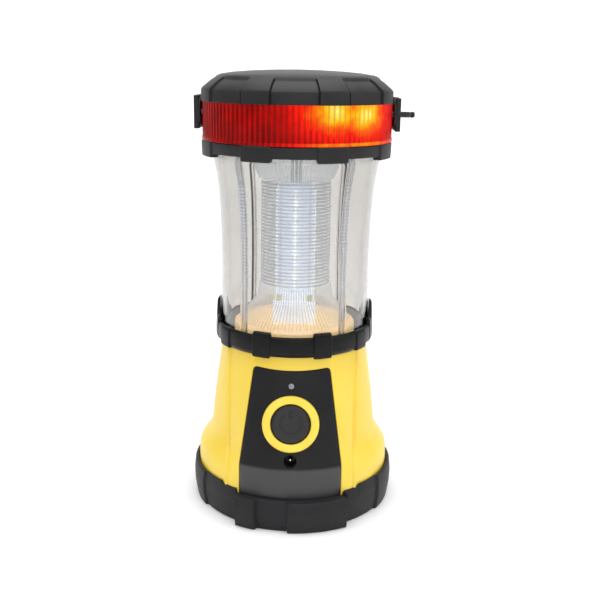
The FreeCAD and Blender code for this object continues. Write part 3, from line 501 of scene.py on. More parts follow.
def lamp_rows_tree():
    """Small square lamps in a row up each of the column's four faces."""
    tree, given = new_tree("Lamp rows", [
        ("Rows", "NodeSocketInt"), ("Pitch", "NodeSocketFloat"), ("Start", "NodeSocketFloat"),
        ("Reach", "NodeSocketFloat"), ("Side step", "NodeSocketFloat"),
        ("Lamp size", "NodeSocketVector"), ("Material", "NodeSocketMaterial")])
    start = add_node(tree, "ShaderNodeCombineXYZ",
                     {"X": given["Side step"], "Y": given["Reach"], "Z": given["Start"]})
    step = add_node(tree, "ShaderNodeCombineXYZ", {"Z": given["Pitch"]})
    line = add_node(tree, "GeometryNodeMeshLine",
                    {"Count": given["Rows"], "Start Location": start.outputs[0],
                     "Offset": step.outputs[0]})
    lamp = add_node(tree, "GeometryNodeMeshCube", {"Size": given["Lamp size"]})
    row = add_node(tree, "GeometryNodeInstanceOnPoints",
                   {"Points": line.outputs["Mesh"], "Instance": lamp.outputs["Mesh"]})
    sides = add_node(tree, "GeometryNodeMeshLine", Count=4, Offset=(0.0, 0.0, 0.0))
    index = add_node(tree, "GeometryNodeInputIndex")
    quarter = add_node(tree, "ShaderNodeMath", {0: index.outputs[0], 1: math.pi / 2},
                       operation="MULTIPLY")
    turn = add_node(tree, "ShaderNodeCombineXYZ", {"Z": quarter.outputs[0]})
    whole = add_node(tree, "GeometryNodeInstanceOnPoints",
                     {"Points": sides.outputs["Mesh"],
                      "Instance": row.outputs["Instances"], "Rotation": turn.outputs[0]})
    close_tree(tree, whole.outputs["Instances"], given["Material"])
    return tree


# ------------------------------------------------------------------ materials

ABS_IOR = 1.53
ACRYLIC_IOR = 1.49
MOULD_DEPTH = 0.03
# The glow in the red lens: colour by share of its reach, which runs from 5 to 36 mm.
GLOW_STOPS = ((0.0, "#FFEF70"), (0.16, "#FFC814"), (0.3, "#FF6A06"), (0.48, "#DE1A05"),
              (0.75, "#9A0803"), (1.0, "#5E0402"))
GLOW_NEAR, GLOW_FAR = 5.0, 36.0
GLOW_STRETCH = (0.9, 0.9, 1.3)
FLUTE_PUSH = 1.3
NOISE_PUSH = 9.0
LIP_PULL = 11.0


def sizes():
    return bpy.context.scene.lantern_sizes


def colours():
    return bpy.context.scene.lantern_colours


def node_of(material, kind):
    return next(node for node in material.node_tree.nodes if node.type == kind)


def glow(code, strength):
    """Emission of a surface: light from a lamp, or a painted glow on a surface that only catches
    light.
    """
    return {"Emission_Color": linear(code), "Emission_Strength": strength}


def surface(name, grain, tones, gloss, **shading):
    """A Principled material; shading sets further sockets of its shader.

    grain is the size, depth and strength of the moulded relief, tones are a dark and a light
    pigment with the size of their slow drift, gloss is the range of roughness over the grain.
    """
    material = bpy.data.materials.new(name)
    material.use_nodes = True
    tree = material.node_tree
    shader = node_of(material, "BSDF_PRINCIPLED")
    size, depth, strength = grain
    place = add_node(tree, "ShaderNodeTexCoord")
    noise = add_node(tree, "ShaderNodeTexNoise", {"Vector": place.outputs["Object"]},
                     Scale=1 / size, Detail=3.0, Roughness=0.6)
    bump = add_node(tree, "ShaderNodeBump", {"Height": noise.outputs["Fac"]},
                    Strength=strength, Distance=depth)
    tree.links.new(bump.outputs["Normal"], shader.inputs["Normal"])
    dark, light, reach = tones
    drift = add_node(tree, "ShaderNodeTexNoise", {"Vector": place.outputs["Object"]},
                     Scale=1 / reach, Detail=2.0)
    ramp = add_node(tree, "ShaderNodeValToRGB", {"Fac": drift.outputs["Fac"]})
    for index, position, code in ((0, 0.3, dark), (1, 0.7, light)):
        ramp.color_ramp.elements[index].position = position
        ramp.color_ramp.elements[index].color = linear(code)
    tree.links.new(ramp.outputs["Color"], shader.inputs["Base Color"])
    span = add_node(tree, "ShaderNodeMapRange", {"Value": noise.outputs["Fac"]},
                    To_Min=gloss[0], To_Max=gloss[1])
    tree.links.new(span.outputs["Result"], shader.inputs["Roughness"])
    for socket, value in shading.items():
        shader.inputs[socket.replace("_", " ")].default_value = value
    return material


def housing_abs():
    """Moulded ABS in warm yellow: satin skin with fine grain and a slight colour drift."""
    return surface("yellow_moulded_abs", (mm(0.6), mm(0.02), 0.25),
                   ("#ECCA3C", colours().housing, mm(30)), (0.36, 0.46), IOR=ABS_IOR)


def black_abs():
    """Moulded ABS in black: spark-eroded tool grain gives a soft grey sheen."""
    return surface("black_moulded_abs", (sizes().grain, mm(MOULD_DEPTH), 0.35),
                   ("#101012", colours().black, mm(20)), (0.42, 0.55), IOR=ABS_IOR,
                   Specular_IOR_Level=0.33)


def panel_abs():
    """Black ABS of the control panel: matt round the button, with a painted reflection that makes the
    face under the knee shinier.
    """
    material = surface("black_panel_abs", (sizes().grain, mm(MOULD_DEPTH), 0.35),
                       ("#111114", "#17171A", mm(20)), (0.42, 0.52), IOR=ABS_IOR)
    tree = material.node_tree
    parts = add_node(tree, "ShaderNodeSeparateXYZ",
                     {"Vector": node_of(material, "TEX_COORD").outputs["Object"]})
    # Painted reflection: the reflection is made nearly four times as strong below the knee as above
    # it, so the face under the knee reads lighter.
    sheen = add_node(tree, "ShaderNodeMapRange", {"Value": parts.outputs["Z"]},
                     From_Min=mm(KNEE - 1.2), From_Max=mm(KNEE + 0.4), To_Min=0.85, To_Max=0.22)
    shader = node_of(material, "BSDF_PRINCIPLED")
    tree.links.new(sheen.outputs["Result"], shader.inputs["Specular IOR Level"])
    return material


def polished_black_abs():
    """The same ABS from a polished tool: darker, with sharper highlights on its lip."""
    return surface("black_polished_abs", (sizes().grain, mm(0.015), 0.2),
                   ("#0A0A0B", "#0F0F11", mm(20)), (0.24, 0.34), IOR=ABS_IOR,
                   Specular_IOR_Level=0.17)


def black_rubber():
    """Moulded thermoplastic rubber: duller than the ABS, with a powdery bloom."""
    return surface("black_foot_rubber", (mm(0.8), mm(0.04), 0.35),
                   ("#111114", "#19191D", mm(12)), (0.52, 0.68), IOR=1.5,
                   Specular_IOR_Level=0.34, Sheen_Weight=0.03)


def button_rubber():
    """Smooth silicone-like rubber of the button: black with a soft, wide highlight."""
    return surface("black_button_rubber", (mm(0.4), mm(0.015), 0.25),
                   ("#0E0E10", "#131316", mm(8)), (0.4, 0.5))


def ring_abs():
    """The button ring's own yellow ABS, a little paler and glossier than the housing."""
    return surface("yellow_ring_abs", (mm(0.5), mm(0.01), 0.2),
                   ("#F3D040", "#F8DA52", mm(10)), (0.3, 0.38))


def red_acrylic():
    """Injection-moulded red acrylic: clear, glossy and deep where light must cross it, with the lit
    lamps' glow painted into it.
    """
    material = surface("red_lens_acrylic", (mm(3.0), mm(0.03), 0.12),
                       ("#700403", colours().lens, mm(9)), (0.2, 0.3), IOR=ACRYLIC_IOR,
                       Transmission_Weight=0.05, Specular_IOR_Level=0.04)
    painted_lamp_glow(material)
    return material


def painted_lamp_glow(material):
    """Painted glow: emission painted round two spots stands in for the light of the lit lamps
    spreading in the plastic, broken up by the flutes.
    """
    tree = material.node_tree
    shader = node_of(material, "BSDF_PRINCIPLED")
    place = node_of(material, "TEX_COORD").outputs["Object"]
    reaches = []
    for angle, height in GLOW_SPOTS:
        spot = Vector(polar(50.0, angle, height)) * 0.001
        offset = add_node(tree, "ShaderNodeVectorMath", {0: place, 1: spot},
                          operation="SUBTRACT")
        stretched = add_node(tree, "ShaderNodeVectorMath", {0: offset.outputs[0], 1: GLOW_STRETCH},
                             operation="MULTIPLY")
        length = add_node(tree, "ShaderNodeVectorMath", {0: stretched.outputs[0]},
                          operation="LENGTH")
        reaches.append(length.outputs["Value"])
    reach = add_node(tree, "ShaderNodeMath", {0: reaches[0], 1: reaches[1]}, operation="MINIMUM")
    parts = add_node(tree, "ShaderNodeSeparateXYZ", {"Vector": place})
    turn = add_node(tree, "ShaderNodeMath", {0: parts.outputs["Y"], 1: parts.outputs["X"]},
                    operation="ARCTAN2")
    flute = add_node(tree, "ShaderNodeMath", {0: turn.outputs[0], 1: sizes().lens_flutes},
                     operation="MULTIPLY")
    wave = add_node(tree, "ShaderNodeMath", {0: flute.outputs[0]}, operation="SINE")
    blur = add_node(tree, "ShaderNodeTexNoise", {"Vector": place}, Scale=1 / mm(5), Detail=3.0)
    # The flutes push the edge of the glow in and out, and the noise makes it uneven.
    ragged = add_node(tree, "ShaderNodeMath",
                      {0: wave.outputs[0], 1: mm(FLUTE_PUSH), 2: reach.outputs[0]},
                      operation="MULTIPLY_ADD")
    uneven = add_node(tree, "ShaderNodeMath",
                      {0: blur.outputs["Fac"], 1: mm(NOISE_PUSH), 2: ragged.outputs[0]},
                      operation="MULTIPLY_ADD")
    # The lower lip gathers light, so it shines as if it were nearer to the lamps.
    lip = add_node(tree, "ShaderNodeMapRange", {"Value": parts.outputs["Z"]},
                   From_Min=mm(HEAD_TOP + 1.3), From_Max=mm(HEAD_TOP + 2.0),
                   To_Min=mm(-LIP_PULL), To_Max=0.0)
    lipped = add_node(tree, "ShaderNodeMath", {0: uneven.outputs[0], 1: lip.outputs["Result"]},
                      operation="ADD")
    share = add_node(tree, "ShaderNodeMapRange", {"Value": lipped.outputs[0]},
                     From_Min=mm(GLOW_NEAR), From_Max=mm(GLOW_FAR))
    ramp = add_node(tree, "ShaderNodeValToRGB", {"Fac": share.outputs["Result"]})
    ramp.color_ramp.elements[0].color = linear(GLOW_STOPS[0][1])
    ramp.color_ramp.elements[1].color = linear(GLOW_STOPS[-1][1])
    for position, code in GLOW_STOPS[1:-1]:
        ramp.color_ramp.elements.new(position).color = linear(code)
    painted_flute_shade = add_node(tree, "ShaderNodeMapRange", {"Value": wave.outputs[0]},
                   From_Min=-1.0, From_Max=1.0, To_Min=0.45, To_Max=1.0)
    # Painted flute shade: the same stripes darken the painted glow and the pigment, so each flute
    # reads as an upright line.
    pigment = shader.inputs["Base Color"].links[0].from_socket
    for socket, source in (("Emission Color", ramp.outputs["Color"]), ("Base Color", pigment)):
        striped = add_node(tree, "ShaderNodeVectorMath", {0: source, 1: painted_flute_shade.outputs["Result"]},
                           operation="MULTIPLY")
        tree.links.new(striped.outputs["Vector"], shader.inputs[socket])
    shader.inputs["Emission Strength"].default_value = 1.25


def clear_acrylic():
    """Clear moulded acrylic or styrene of the globe: colourless with slight flow waves."""
    material = surface("clear_globe_acrylic", (mm(26.0), mm(0.15), 0.10),
                       ("#F4F3F1", "#F8F7F5", mm(40)), (0.015, 0.04), IOR=ACRYLIC_IOR,
                       Transmission_Weight=1.0)
    # The plastic soaks up a little light per millimetre, so the wall greys towards its edges.
    depth = add_node(material.node_tree, "ShaderNodeVolumeAbsorption",
                     Color=(0.06, 0.03, 0.0, 1.0), Density=0.1 / mm(1))
    output = node_of(material, "OUTPUT_MATERIAL")
    material.node_tree.links.new(depth.outputs["Volume"], output.inputs["Volume"])
    return material


def prismatic_acrylic(name="prismatic_lens_acrylic", cover=0.12, painted_glow_strength=0.1):
    """Clear moulded lens plastic: cover is how much of it the eye sees, painted_glow_strength the
    painted glow that stands in for the light it gathers.
    """
    return surface(name, (mm(2.0), mm(0.05), 0.15), ("#EEF0F2", "#F8F9FA", mm(20)), (0.1, 0.2),
                   IOR=ACRYLIC_IOR, Alpha=cover, **glow("#E6EDF6", painted_glow_strength))


def ribbed_acrylic():
    """The same plastic where the tube's ribs show more of it."""
    return prismatic_acrylic("ribbed_lens_acrylic", 0.38, 0.04)


def flared_acrylic():
    """The thin, nearly invisible wall of the flares."""
    return prismatic_acrylic("flared_lens_acrylic", 0.16, 0.3)


def fluted_acrylic():
    """The flutes along the flares, whose painted glow stands in for the column's light they catch."""
    return prismatic_acrylic("fluted_lens_acrylic", 0.3, 0.3)


def deck_abs_painted_glow():
    """Glossy moulded plastic of the reflector deck: orange-yellow, lit from above by a painted glow.
    """
    return surface("orange_deck_abs", (mm(1.2), mm(0.02), 0.2),
                   ("#F7B84C", colours().deck, mm(18)), (0.22, 0.32), **glow("#F2D286", 0.8))


def white_abs(name="white_moulded_abs", dark="#E6E8EA", light="#F3F4F5", **shading):
    """White moulded ABS of the lamp block: clean, satin, very slightly cool."""
    return surface(name, (mm(0.5), mm(0.01), 0.2), (dark, light, mm(9)), (0.3, 0.4), **shading)


def lamp_board():
    """White solder mask on the lamp boards: bluish and semi-gloss, with a painted glow for the stray
    light it catches.
    """
    return white_abs("white_lamp_board", "#D5E2F4", "#EAF1FB", **glow("#DEE9FD", 0.85))


def strip_silicone_painted_highlight():
    """Clear silicone bead along each lamp row, glowing as a painted highlight: a bright upright line.
    """
    return white_abs("lamp_strip_silicone", "#F2F6FF", "#FFFFFF", **glow("#F2F7FF", 1.5))


def pale_phosphor():
    """The column's own lamps: phosphor washed out by the white board round it."""
    return white_abs("pale_phosphor_gel", "#E6E8D8", "#F0F2EC", **glow("#E9EFF4", 0.7))


def phosphor():
    """Yellow phosphor gel of the surface lamps: translucent and slightly soft."""
    return surface("lamp_phosphor_gel", (mm(0.4), mm(0.02), 0.3), ("#E6DF62", "#F0EC8C", mm(1.5)),
                   (0.25, 0.4), Subsurface_Weight=0.3, Subsurface_Scale=mm(0.5))


def amber_epoxy(name="amber_lamp_epoxy", **shading):
    """Tinted cast epoxy of the flasher lamps: amber and half see-through."""
    return surface(name, (mm(1.0), mm(0.01), 0.1), ("#FF9A1E", "#FFB040", mm(3)), (0.08, 0.15),
                   Transmission_Weight=0.5, **shading)


def lit_epoxy():
    """The same epoxy round a lamp that shines."""
    return amber_epoxy("lit_lamp_epoxy", **glow("#FFC25A", 60.0))


def metal(name, tone, darker, gloss, grain=1.2, **shading):
    """Machined or plated metal: its tone, darker patches and the range of its roughness."""
    return surface(name, (mm(grain), mm(0.01), 0.2), (darker, tone, mm(4)), gloss,
                   Metallic=1.0, **shading)


def zinc_steel():
    """Zinc-plated steel of screws and pins: grey with a soft sparkle."""
    return metal("zinc_plated_steel", "#B9BABD", "#8F9194", (0.28, 0.42))


def blackened_steel():
    """Oil-blackened steel of the threaded stud: dark grey with bright thread crests."""
    return metal("oil_blackened_steel", "#77777B", "#4A4A4E", (0.3, 0.42))


def bright_nickel():
    """Nickel plating: mirror-like contacts and the inlet's centre pin."""
    return metal("bright_nickel_plate", "#D8D4CB", "#C2BDB3", (0.1, 0.2))


def brushed_aluminium():
    """Extruded aluminium: pale grey with a satin shine."""
    return metal("extruded_aluminium", "#D9DBDE", "#C6C9CD", (0.3, 0.45), 0.7)


def lit_aluminium():
    """The column's anodised core: a painted glow stands in for the stray light from the boards round
    it that fills its corners.
    """
    return metal("anodised_aluminium_painted_glow", "#E4E8EE", "#D6DCE4", (0.4, 0.5), 0.7,
                 **glow("#DEE9FD", 0.45))


def vacuum_chrome():
    """Vacuum-metallised plastic of the flasher reflector: bright and slightly hazy."""
    return metal("vacuum_metallised_plastic", "#E4E4E2", "#CFCFCD", (0.08, 0.16), 3.0)


def circuit_board():
    """Green solder mask over woven glass laminate: semi-gloss with a faint weave."""
    return surface("green_circuit_laminate", (mm(0.9), mm(0.02), 0.3),
                   ("#0C4A24", "#14602F", mm(3)), (0.25, 0.4))


def plain_plastic(name, dark, light, gloss):
    """Small moulded or drawn parts: two tones and a range of roughness."""
    return surface(name, (mm(0.6), mm(0.02), 0.3), (dark, light, mm(6)), gloss)


def dome_silicone():
    """Moulded grey silicone under the button: dull and even."""
    return plain_plastic("grey_dome_silicone", "#6A6B6E", "#7C7D80", (0.45, 0.6))


def seal_silicone():
    """The same silicone in the globe's seals."""
    return plain_plastic("grey_silicone_rubber", "#6A6B6E", "#7C7D80", (0.45, 0.6))


def indicator_plastic():
    """Milky cast epoxy of the unlit indicator: grey with a small sharp highlight."""
    return plain_plastic("milky_indicator_epoxy", "#7E8186", "#9A9DA1", (0.12, 0.2))


def inlet_plastic():
    """Moulded black nylon of the charging inlet: deep black and satin."""
    return plain_plastic("black_inlet_nylon", "#0B0B0C", "#141415", (0.35, 0.5))


def cell_sleeve():
    """Shrunk PVC sleeve of a battery cell: glossy blue."""
    return plain_plastic("blue_shrink_sleeve", "#1D4E86", "#27619F", (0.25, 0.35))


def wire_pvc():
    """Extruded PVC round a wire: white and satin."""
    return plain_plastic("white_wire_insulation", "#D8D8D6", "#E6E6E4", (0.35, 0.45))


def component_epoxy():
    """Moulded epoxy of the driver parts: dull black."""
    return plain_plastic("black_component_epoxy", "#141415", "#1E1E20", (0.4, 0.55))


def studio_paper():
    """Seamless white background paper: matt and even."""
    return surface("white_studio_paper", (mm(3.0), mm(0.02), 0.1),
                   ("#F6F6F6", "#FFFFFF", mm(400)), (0.9, 0.9))


def finish(make):
    """Each material is made once and then found by its maker's name."""
    key = make.__name__
    if key not in finish.made:
        finish.made[key] = make()
    return finish.made[key]


finish.made = {}


# ------------------------------------------------------------------ the panel's shape

def front_depth(z):
    """Depth of the panel's front at the middle, at height z."""
    if z >= KNEE:
        share = (z - KNEE) / (PANEL_TOP - KNEE)
        return KNEE_DEPTH + (PANEL_TOP_DEPTH - KNEE_DEPTH) * min(share, 1.2)
    share = min((KNEE - z) / (KNEE - PANEL_LOW), 1.0)
    return KNEE_DEPTH + (PANEL_LOW_DEPTH - KNEE_DEPTH) * share


def above_knee(z, below, top):
    """A measure that holds below the knee and runs to its value at the panel's top."""
    return below + (top - below) * min(max((z - KNEE) / (PANEL_TOP - KNEE), 0.0), 1.15)


def panel_half(z):
    """Half width of the panel at height z, without its corner rounding."""
    return above_knee(z, FOOT_HALF, TOP_HALF)


def panel_bow(z):
    """How far the panel's side edges lie behind its middle."""
    return above_knee(z, FOOT_BOW, TOP_BOW)


def front_y(x, z):
    half = panel_half(z)
    return -(front_depth(z) - panel_bow(z) * min(abs(x) / half, 1.6) ** 2)


def sagged(x, y, z):
    """The panel's top edge dips in the middle; the housing round it follows."""
    if y > 0 or abs(x) > TOP_HALF:
        return (x, y, z)
    near = ease((z - (PANEL_TOP - 9)) / 9) if z < PANEL_TOP else ease((SHELL_TOP - z) / 6)
    return (x, y, z - DIP * (1 - (x / TOP_HALF) ** 2) * near)


def trimmed_half(z, gap):
    """Half width of the panel with its upper corners rounded."""
    half = panel_half(z) + gap
    over = z - (PANEL_TOP + gap - CORNER)
    if over > 0:
        half -= CORNER - math.sqrt(max(CORNER ** 2 - min(over, CORNER) ** 2, 0))
    return half


SHELL_CURVE = [(4.0, 52.9), (16.5, 52.9), (24.0, 53.0), (30.4, 52.4), (35.0, 49.6),
               (39.0, 46.9), (45.0, 45.5), (56.0, 44.3), (66.5, 43.0), (85.5, 40.3), (91.0, 39.8)]


# ------------------------------------------------------------------ operators, one per piece

class StageOperator(bpy.types.Operator):
    """Floor, soft lights and the camera."""
    bl_idname = "lantern.stage"
    bl_label = "Stage"

    # Name, place, size in metres, power in watts and what the light aims at.
    LIGHTS = (("Key", (-0.85, -0.35, 0.75), 0.9, 2.1, (0.0, 0.0, 0.12)),
              ("Fill", (0.9, -0.3, 0.6), 0.9, 2.8, (0.0, 0.0, 0.12)),
              ("Top", (0.0, -0.1, 1.25), 1.2, 7.5, (0.0, 0.0, 0.12)),
              ("Front", (0.1, -1.1, 0.55), 0.9, 3.2, (0.0, 0.0, 0.12)),
              ("Paper", (0.0, 0.45, 1.6), 1.6, 13.0, (0.0, 1.0, 0.4)))
    FOCAL_LENGTH = 54.0
    SENSOR = 36.0
    STAND = (2.9, -481.5, 236.7)
    TILT = 75.38
    ROLL = 0.887
    SWING = 1.2
    WORLD_LIGHT = 0.4

    def execute(self, context):
        context.scene.view_settings.view_transform = "Standard"
        world = bpy.data.worlds.new("Studio white")
        context.scene.world = world
        world.use_nodes = True
        backdrop = world.node_tree.nodes["Background"]
        backdrop.inputs["Color"].default_value = linear("#FFFFFF")
        backdrop.inputs["Strength"].default_value = self.WORLD_LIGHT
        self.sweep()
        for setting in self.LIGHTS:
            self.light(*setting)
        self.camera(context)
        return {"FINISHED"}

    def sweep(self):
        """Seamless paper: a flat floor that curves up behind the lantern."""
        line = [(-2.6, 0.0), (0.5, 0.0)]
        line += [(0.5 + 0.6 * math.sin(k * math.pi / 32), 0.6 - 0.6 * math.cos(k * math.pi / 32))
                 for k in range(1, 17)]
        line.append((1.1, 2.2))
        points = [(side * 2600, y * 1000, z * 1000) for y, z in line for side in (-1, 1)]
        faces = [(2 * k, 2 * k + 1, 2 * k + 3, 2 * k + 2) for k in range(len(line) - 1)]
        return mesh_object("studio_sweep", points, faces, finish(studio_paper), 60)

    def light(self, name, place, size, power, target):
        lamp = bpy.data.lights.new(name, "AREA")
        lamp.size = size
        lamp.energy = power
        holder = bpy.data.objects.new(name, lamp)
        holder.location = place
        aim = Vector(target) - Vector(place)
        holder.rotation_euler = aim.to_track_quat("-Z", "Y").to_euler()
        bpy.context.scene.collection.objects.link(holder)

    def camera(self, context):
        lens = bpy.data.cameras.new("Camera")
        lens.lens = self.FOCAL_LENGTH
        lens.sensor_width = self.SENSOR
        camera = bpy.data.objects.new("Camera", lens)
        place = Matrix.Translation([mm(value) for value in self.STAND])
        tilt = Matrix.Rotation(math.radians(self.TILT), 4, "X")
        roll = Matrix.Rotation(math.radians(self.ROLL), 4, "Z")
        swing = Matrix.Rotation(math.radians(self.SWING), 4, "Z")
        camera.matrix_world = swing @ place @ tilt @ roll
        context.scene.collection.objects.link(camera)
        context.scene.camera = camera


class FootOperator(bpy.types.Operator):
    """Rubber bumper with its blocks and a lower edge under the panel."""
    bl_idname = "lantern.foot"
    bl_label = "Foot bumper"

    RAISED = [(-24, 12), (15.5, 33), (180, 30)]
    FRONT = (0, 63)
    SIDES = [(90, 62), (-90, 62)]
    NOTCHED = [(-37, 11), (37, 11)]

    def execute(self, context):
        bands = self.RAISED + self.SIDES + self.NOTCHED + [self.FRONT]
        piece = ring_mesh("foot_bumper_rubber", angles_near(band_edges(bands)), self.section,
                          finish(black_rubber), 40)
        settle(piece, "lantern", "black_rubber", "foot_bumper")
        return {"FINISHED"}

    def section(self, angle):
        front = window(angle, *self.FRONT)
        block = max(window(angle, *band, 1.2) for band in self.RAISED)
        side = max(window(angle, *band, 1.2) for band in self.SIDES)
        notch = max(window(angle, *band, 0.8) for band in self.NOTCHED)
        outer = 54.6 + 2.3 * front + 1.3 * side
        outer = outer + (59.4 - outer) * block
        top = 20.5 - 1.2 * notch - 3.3 * front
        foot = outer - 1.3
        return rounded([(49.0, 0.0), (foot, 0.0), (outer, 8.0), (outer + 0.2, top * 0.7),
                        (outer - 0.5, top), (53.35, top), (53.35, 1.5), (49.0, 1.5)], 0.9)


class ShellOperator(bpy.types.Operator):
    """Yellow housing with flat cheeks beside the sunk panel and a crease on each side."""
    bl_idname = "lantern.shell"
    bl_label = "Yellow housing"

    WALL = 2.4
    GAP = 0.2
    BED = 2.3
    STEP = 0.35
    HOLES = ((0.0, 15.3), (20.2, 2.0), (INLET_RISE, 5.2))

    def execute(self, context):
        outer = [self.level(z, sunk) for z, sunk in self.heights()]
        inner = [[self.inset(point) for point in row] for row in reversed(outer)]
        rows = outer + inner
        count = len(rows[0])
        points = [point for row in rows for point in row]
        faces = []
        for i in range(len(rows)):
            k = (i + 1) % len(rows)
            for j in range(count):
                n = (j + 1) % count
                faces.append((i * count + j, i * count + n, k * count + n, k * count + j))
        piece = mesh_object("lower_shell_moulding", points, faces, finish(housing_abs), 42)
        drill(piece, self.HOLES, finish(housing_abs))
        settle(piece, "lantern", "yellow_abs", "lower_shell")
        return {"FINISHED"}

    def heights(self):
        low = [SHELL_LOW + 1.0 * k for k in range(12)]
        levels = low + [PANEL_LOW + 0.75 * k for k in range(int((PANEL_TOP - PANEL_LOW - 3) / 0.75))]
        levels += [PANEL_TOP + self.GAP - CORNER + CORNER * math.sin(k * math.pi / 20)
                   for k in range(11)]
        rows = [(z, True) for z in levels]
        rest = [PANEL_TOP + self.GAP, PANEL_TOP + self.GAP + 0.4] + [86 + k for k in range(6)]
        return rows + [(z, False) for z in rest]

    def level(self, z, sunk):
        """One level as points: panel bed, step, cheek, crease and round back, both sides."""
        radius = spline(SHELL_CURVE, z)
        half = trimmed_half(z, self.GAP)
        depth = self.BED if sunk else 0.0
        side = []
        for k in range(9):
            x = half * k / 8
            side.append((x, front_y(x, z) + depth))
        side.append((half, front_y(half, z) + (self.STEP if sunk else 0)))
        edge = panel_half(z) + self.GAP + 0.6
        for k in range(4):
            x = half + self.STEP + (edge - half - self.STEP) * k / 3
            side.append((x, front_y(x, z)))
        crease = (CREASE, -math.sqrt(radius ** 2 - CREASE ** 2))
        start = side[-1]
        for k in range(1, 7):
            t = k / 6
            bulge = 0.8 * math.sin(math.pi * t)
            side.append((start[0] + (crease[0] - start[0]) * t + bulge * 0.6,
                         start[1] + (crease[1] - start[1]) * t - bulge * 0.6))
        middle = math.degrees(math.atan2(CREASE, -crease[1]))
        side.pop()
        for turn, rise in ((-1.5, 0.0), (-0.9, 0.6), (-0.3, 1.05), (0.3, 1.05), (0.9, 0.6)):
            angle = math.radians(middle + turn)
            side.append(((radius + rise) * math.sin(angle), -(radius + rise) * math.cos(angle)))
        first = middle + 1.5
        turns = 60
        for k in range(turns + 1):
            angle = math.radians(first + (180 - first) * k / turns)
            side.append((radius * math.sin(angle), -radius * math.cos(angle)))
        right = [sagged(x, y, z) for x, y in side]
        left = [sagged(-x, y, z) for x, y in reversed(side[1:-1])]
        return right + left

    def inset(self, point):
        x, y, z = point
        length = math.hypot(x, y)
        share = (length - self.WALL) / length
        return (x * share, y * share, z)


class PanelOperator(bpy.types.Operator):
    """Black plate, bowed and bent at the knee, with holes for ring, indicator and inlet."""
    bl_idname = "lantern.panel"
    bl_label = "Control panel"

    THICKNESS = 2.0
    EDGE_DROOP = 0.35
    COLUMNS = 56
    HOLES = ((0.0, 15.1), (LED_RISE, 1.65), (INLET_RISE, 3.5))

    def execute(self, context):
        heights = [PANEL_LOW + (PANEL_TOP - CORNER - PANEL_LOW) * k / 90 for k in range(91)]
        heights += [PANEL_TOP - CORNER + CORNER * math.sin(k * math.pi / 20) for k in range(1, 11)]
        columns = self.COLUMNS
        front, back = [], []
        for z in heights:
            half = trimmed_half(z, 0.0)
            lip = max(0.0, (z - PANEL_TOP + 0.8) / 0.8)
            for j in range(columns + 1):
                x = half * (2 * j / columns - 1)
                edge = max(0.0, (abs(x) - half + 0.7) / 0.7)
                droop = self.EDGE_DROOP * min(1.0, edge ** 2 + lip ** 2)
                front.append(sagged(x, front_y(x, z) + droop, z))
                back.append(sagged(x, front_y(x, z) + self.THICKNESS, z))
        count = len(front)
        width = columns + 1
        faces = []
        for i in range(len(heights) - 1):
            for j in range(columns):
                a = i * width + j
                faces.append((a, a + 1, a + width + 1, a + width))
                faces.append((count + a, count + a + width, count + a + width + 1, count + a + 1))
        edge_loop = list(range(width))
        edge_loop += [i * width + columns for i in range(1, len(heights))]
        edge_loop += [(len(heights) - 1) * width + j for j in range(columns - 1, -1, -1)]
        edge_loop += [i * width for i in range(len(heights) - 2, 0, -1)]
        for a, b in zip(edge_loop, edge_loop[1:] + edge_loop[:1]):
            faces.append((a, b, count + b, count + a))
        piece = mesh_object("control_panel_plate", front + back, faces, finish(panel_abs), 30)
        drill(piece, self.HOLES, finish(panel_abs))
        settle(piece, "lantern", "black_abs", "control_panel")
        return {"FINISHED"}


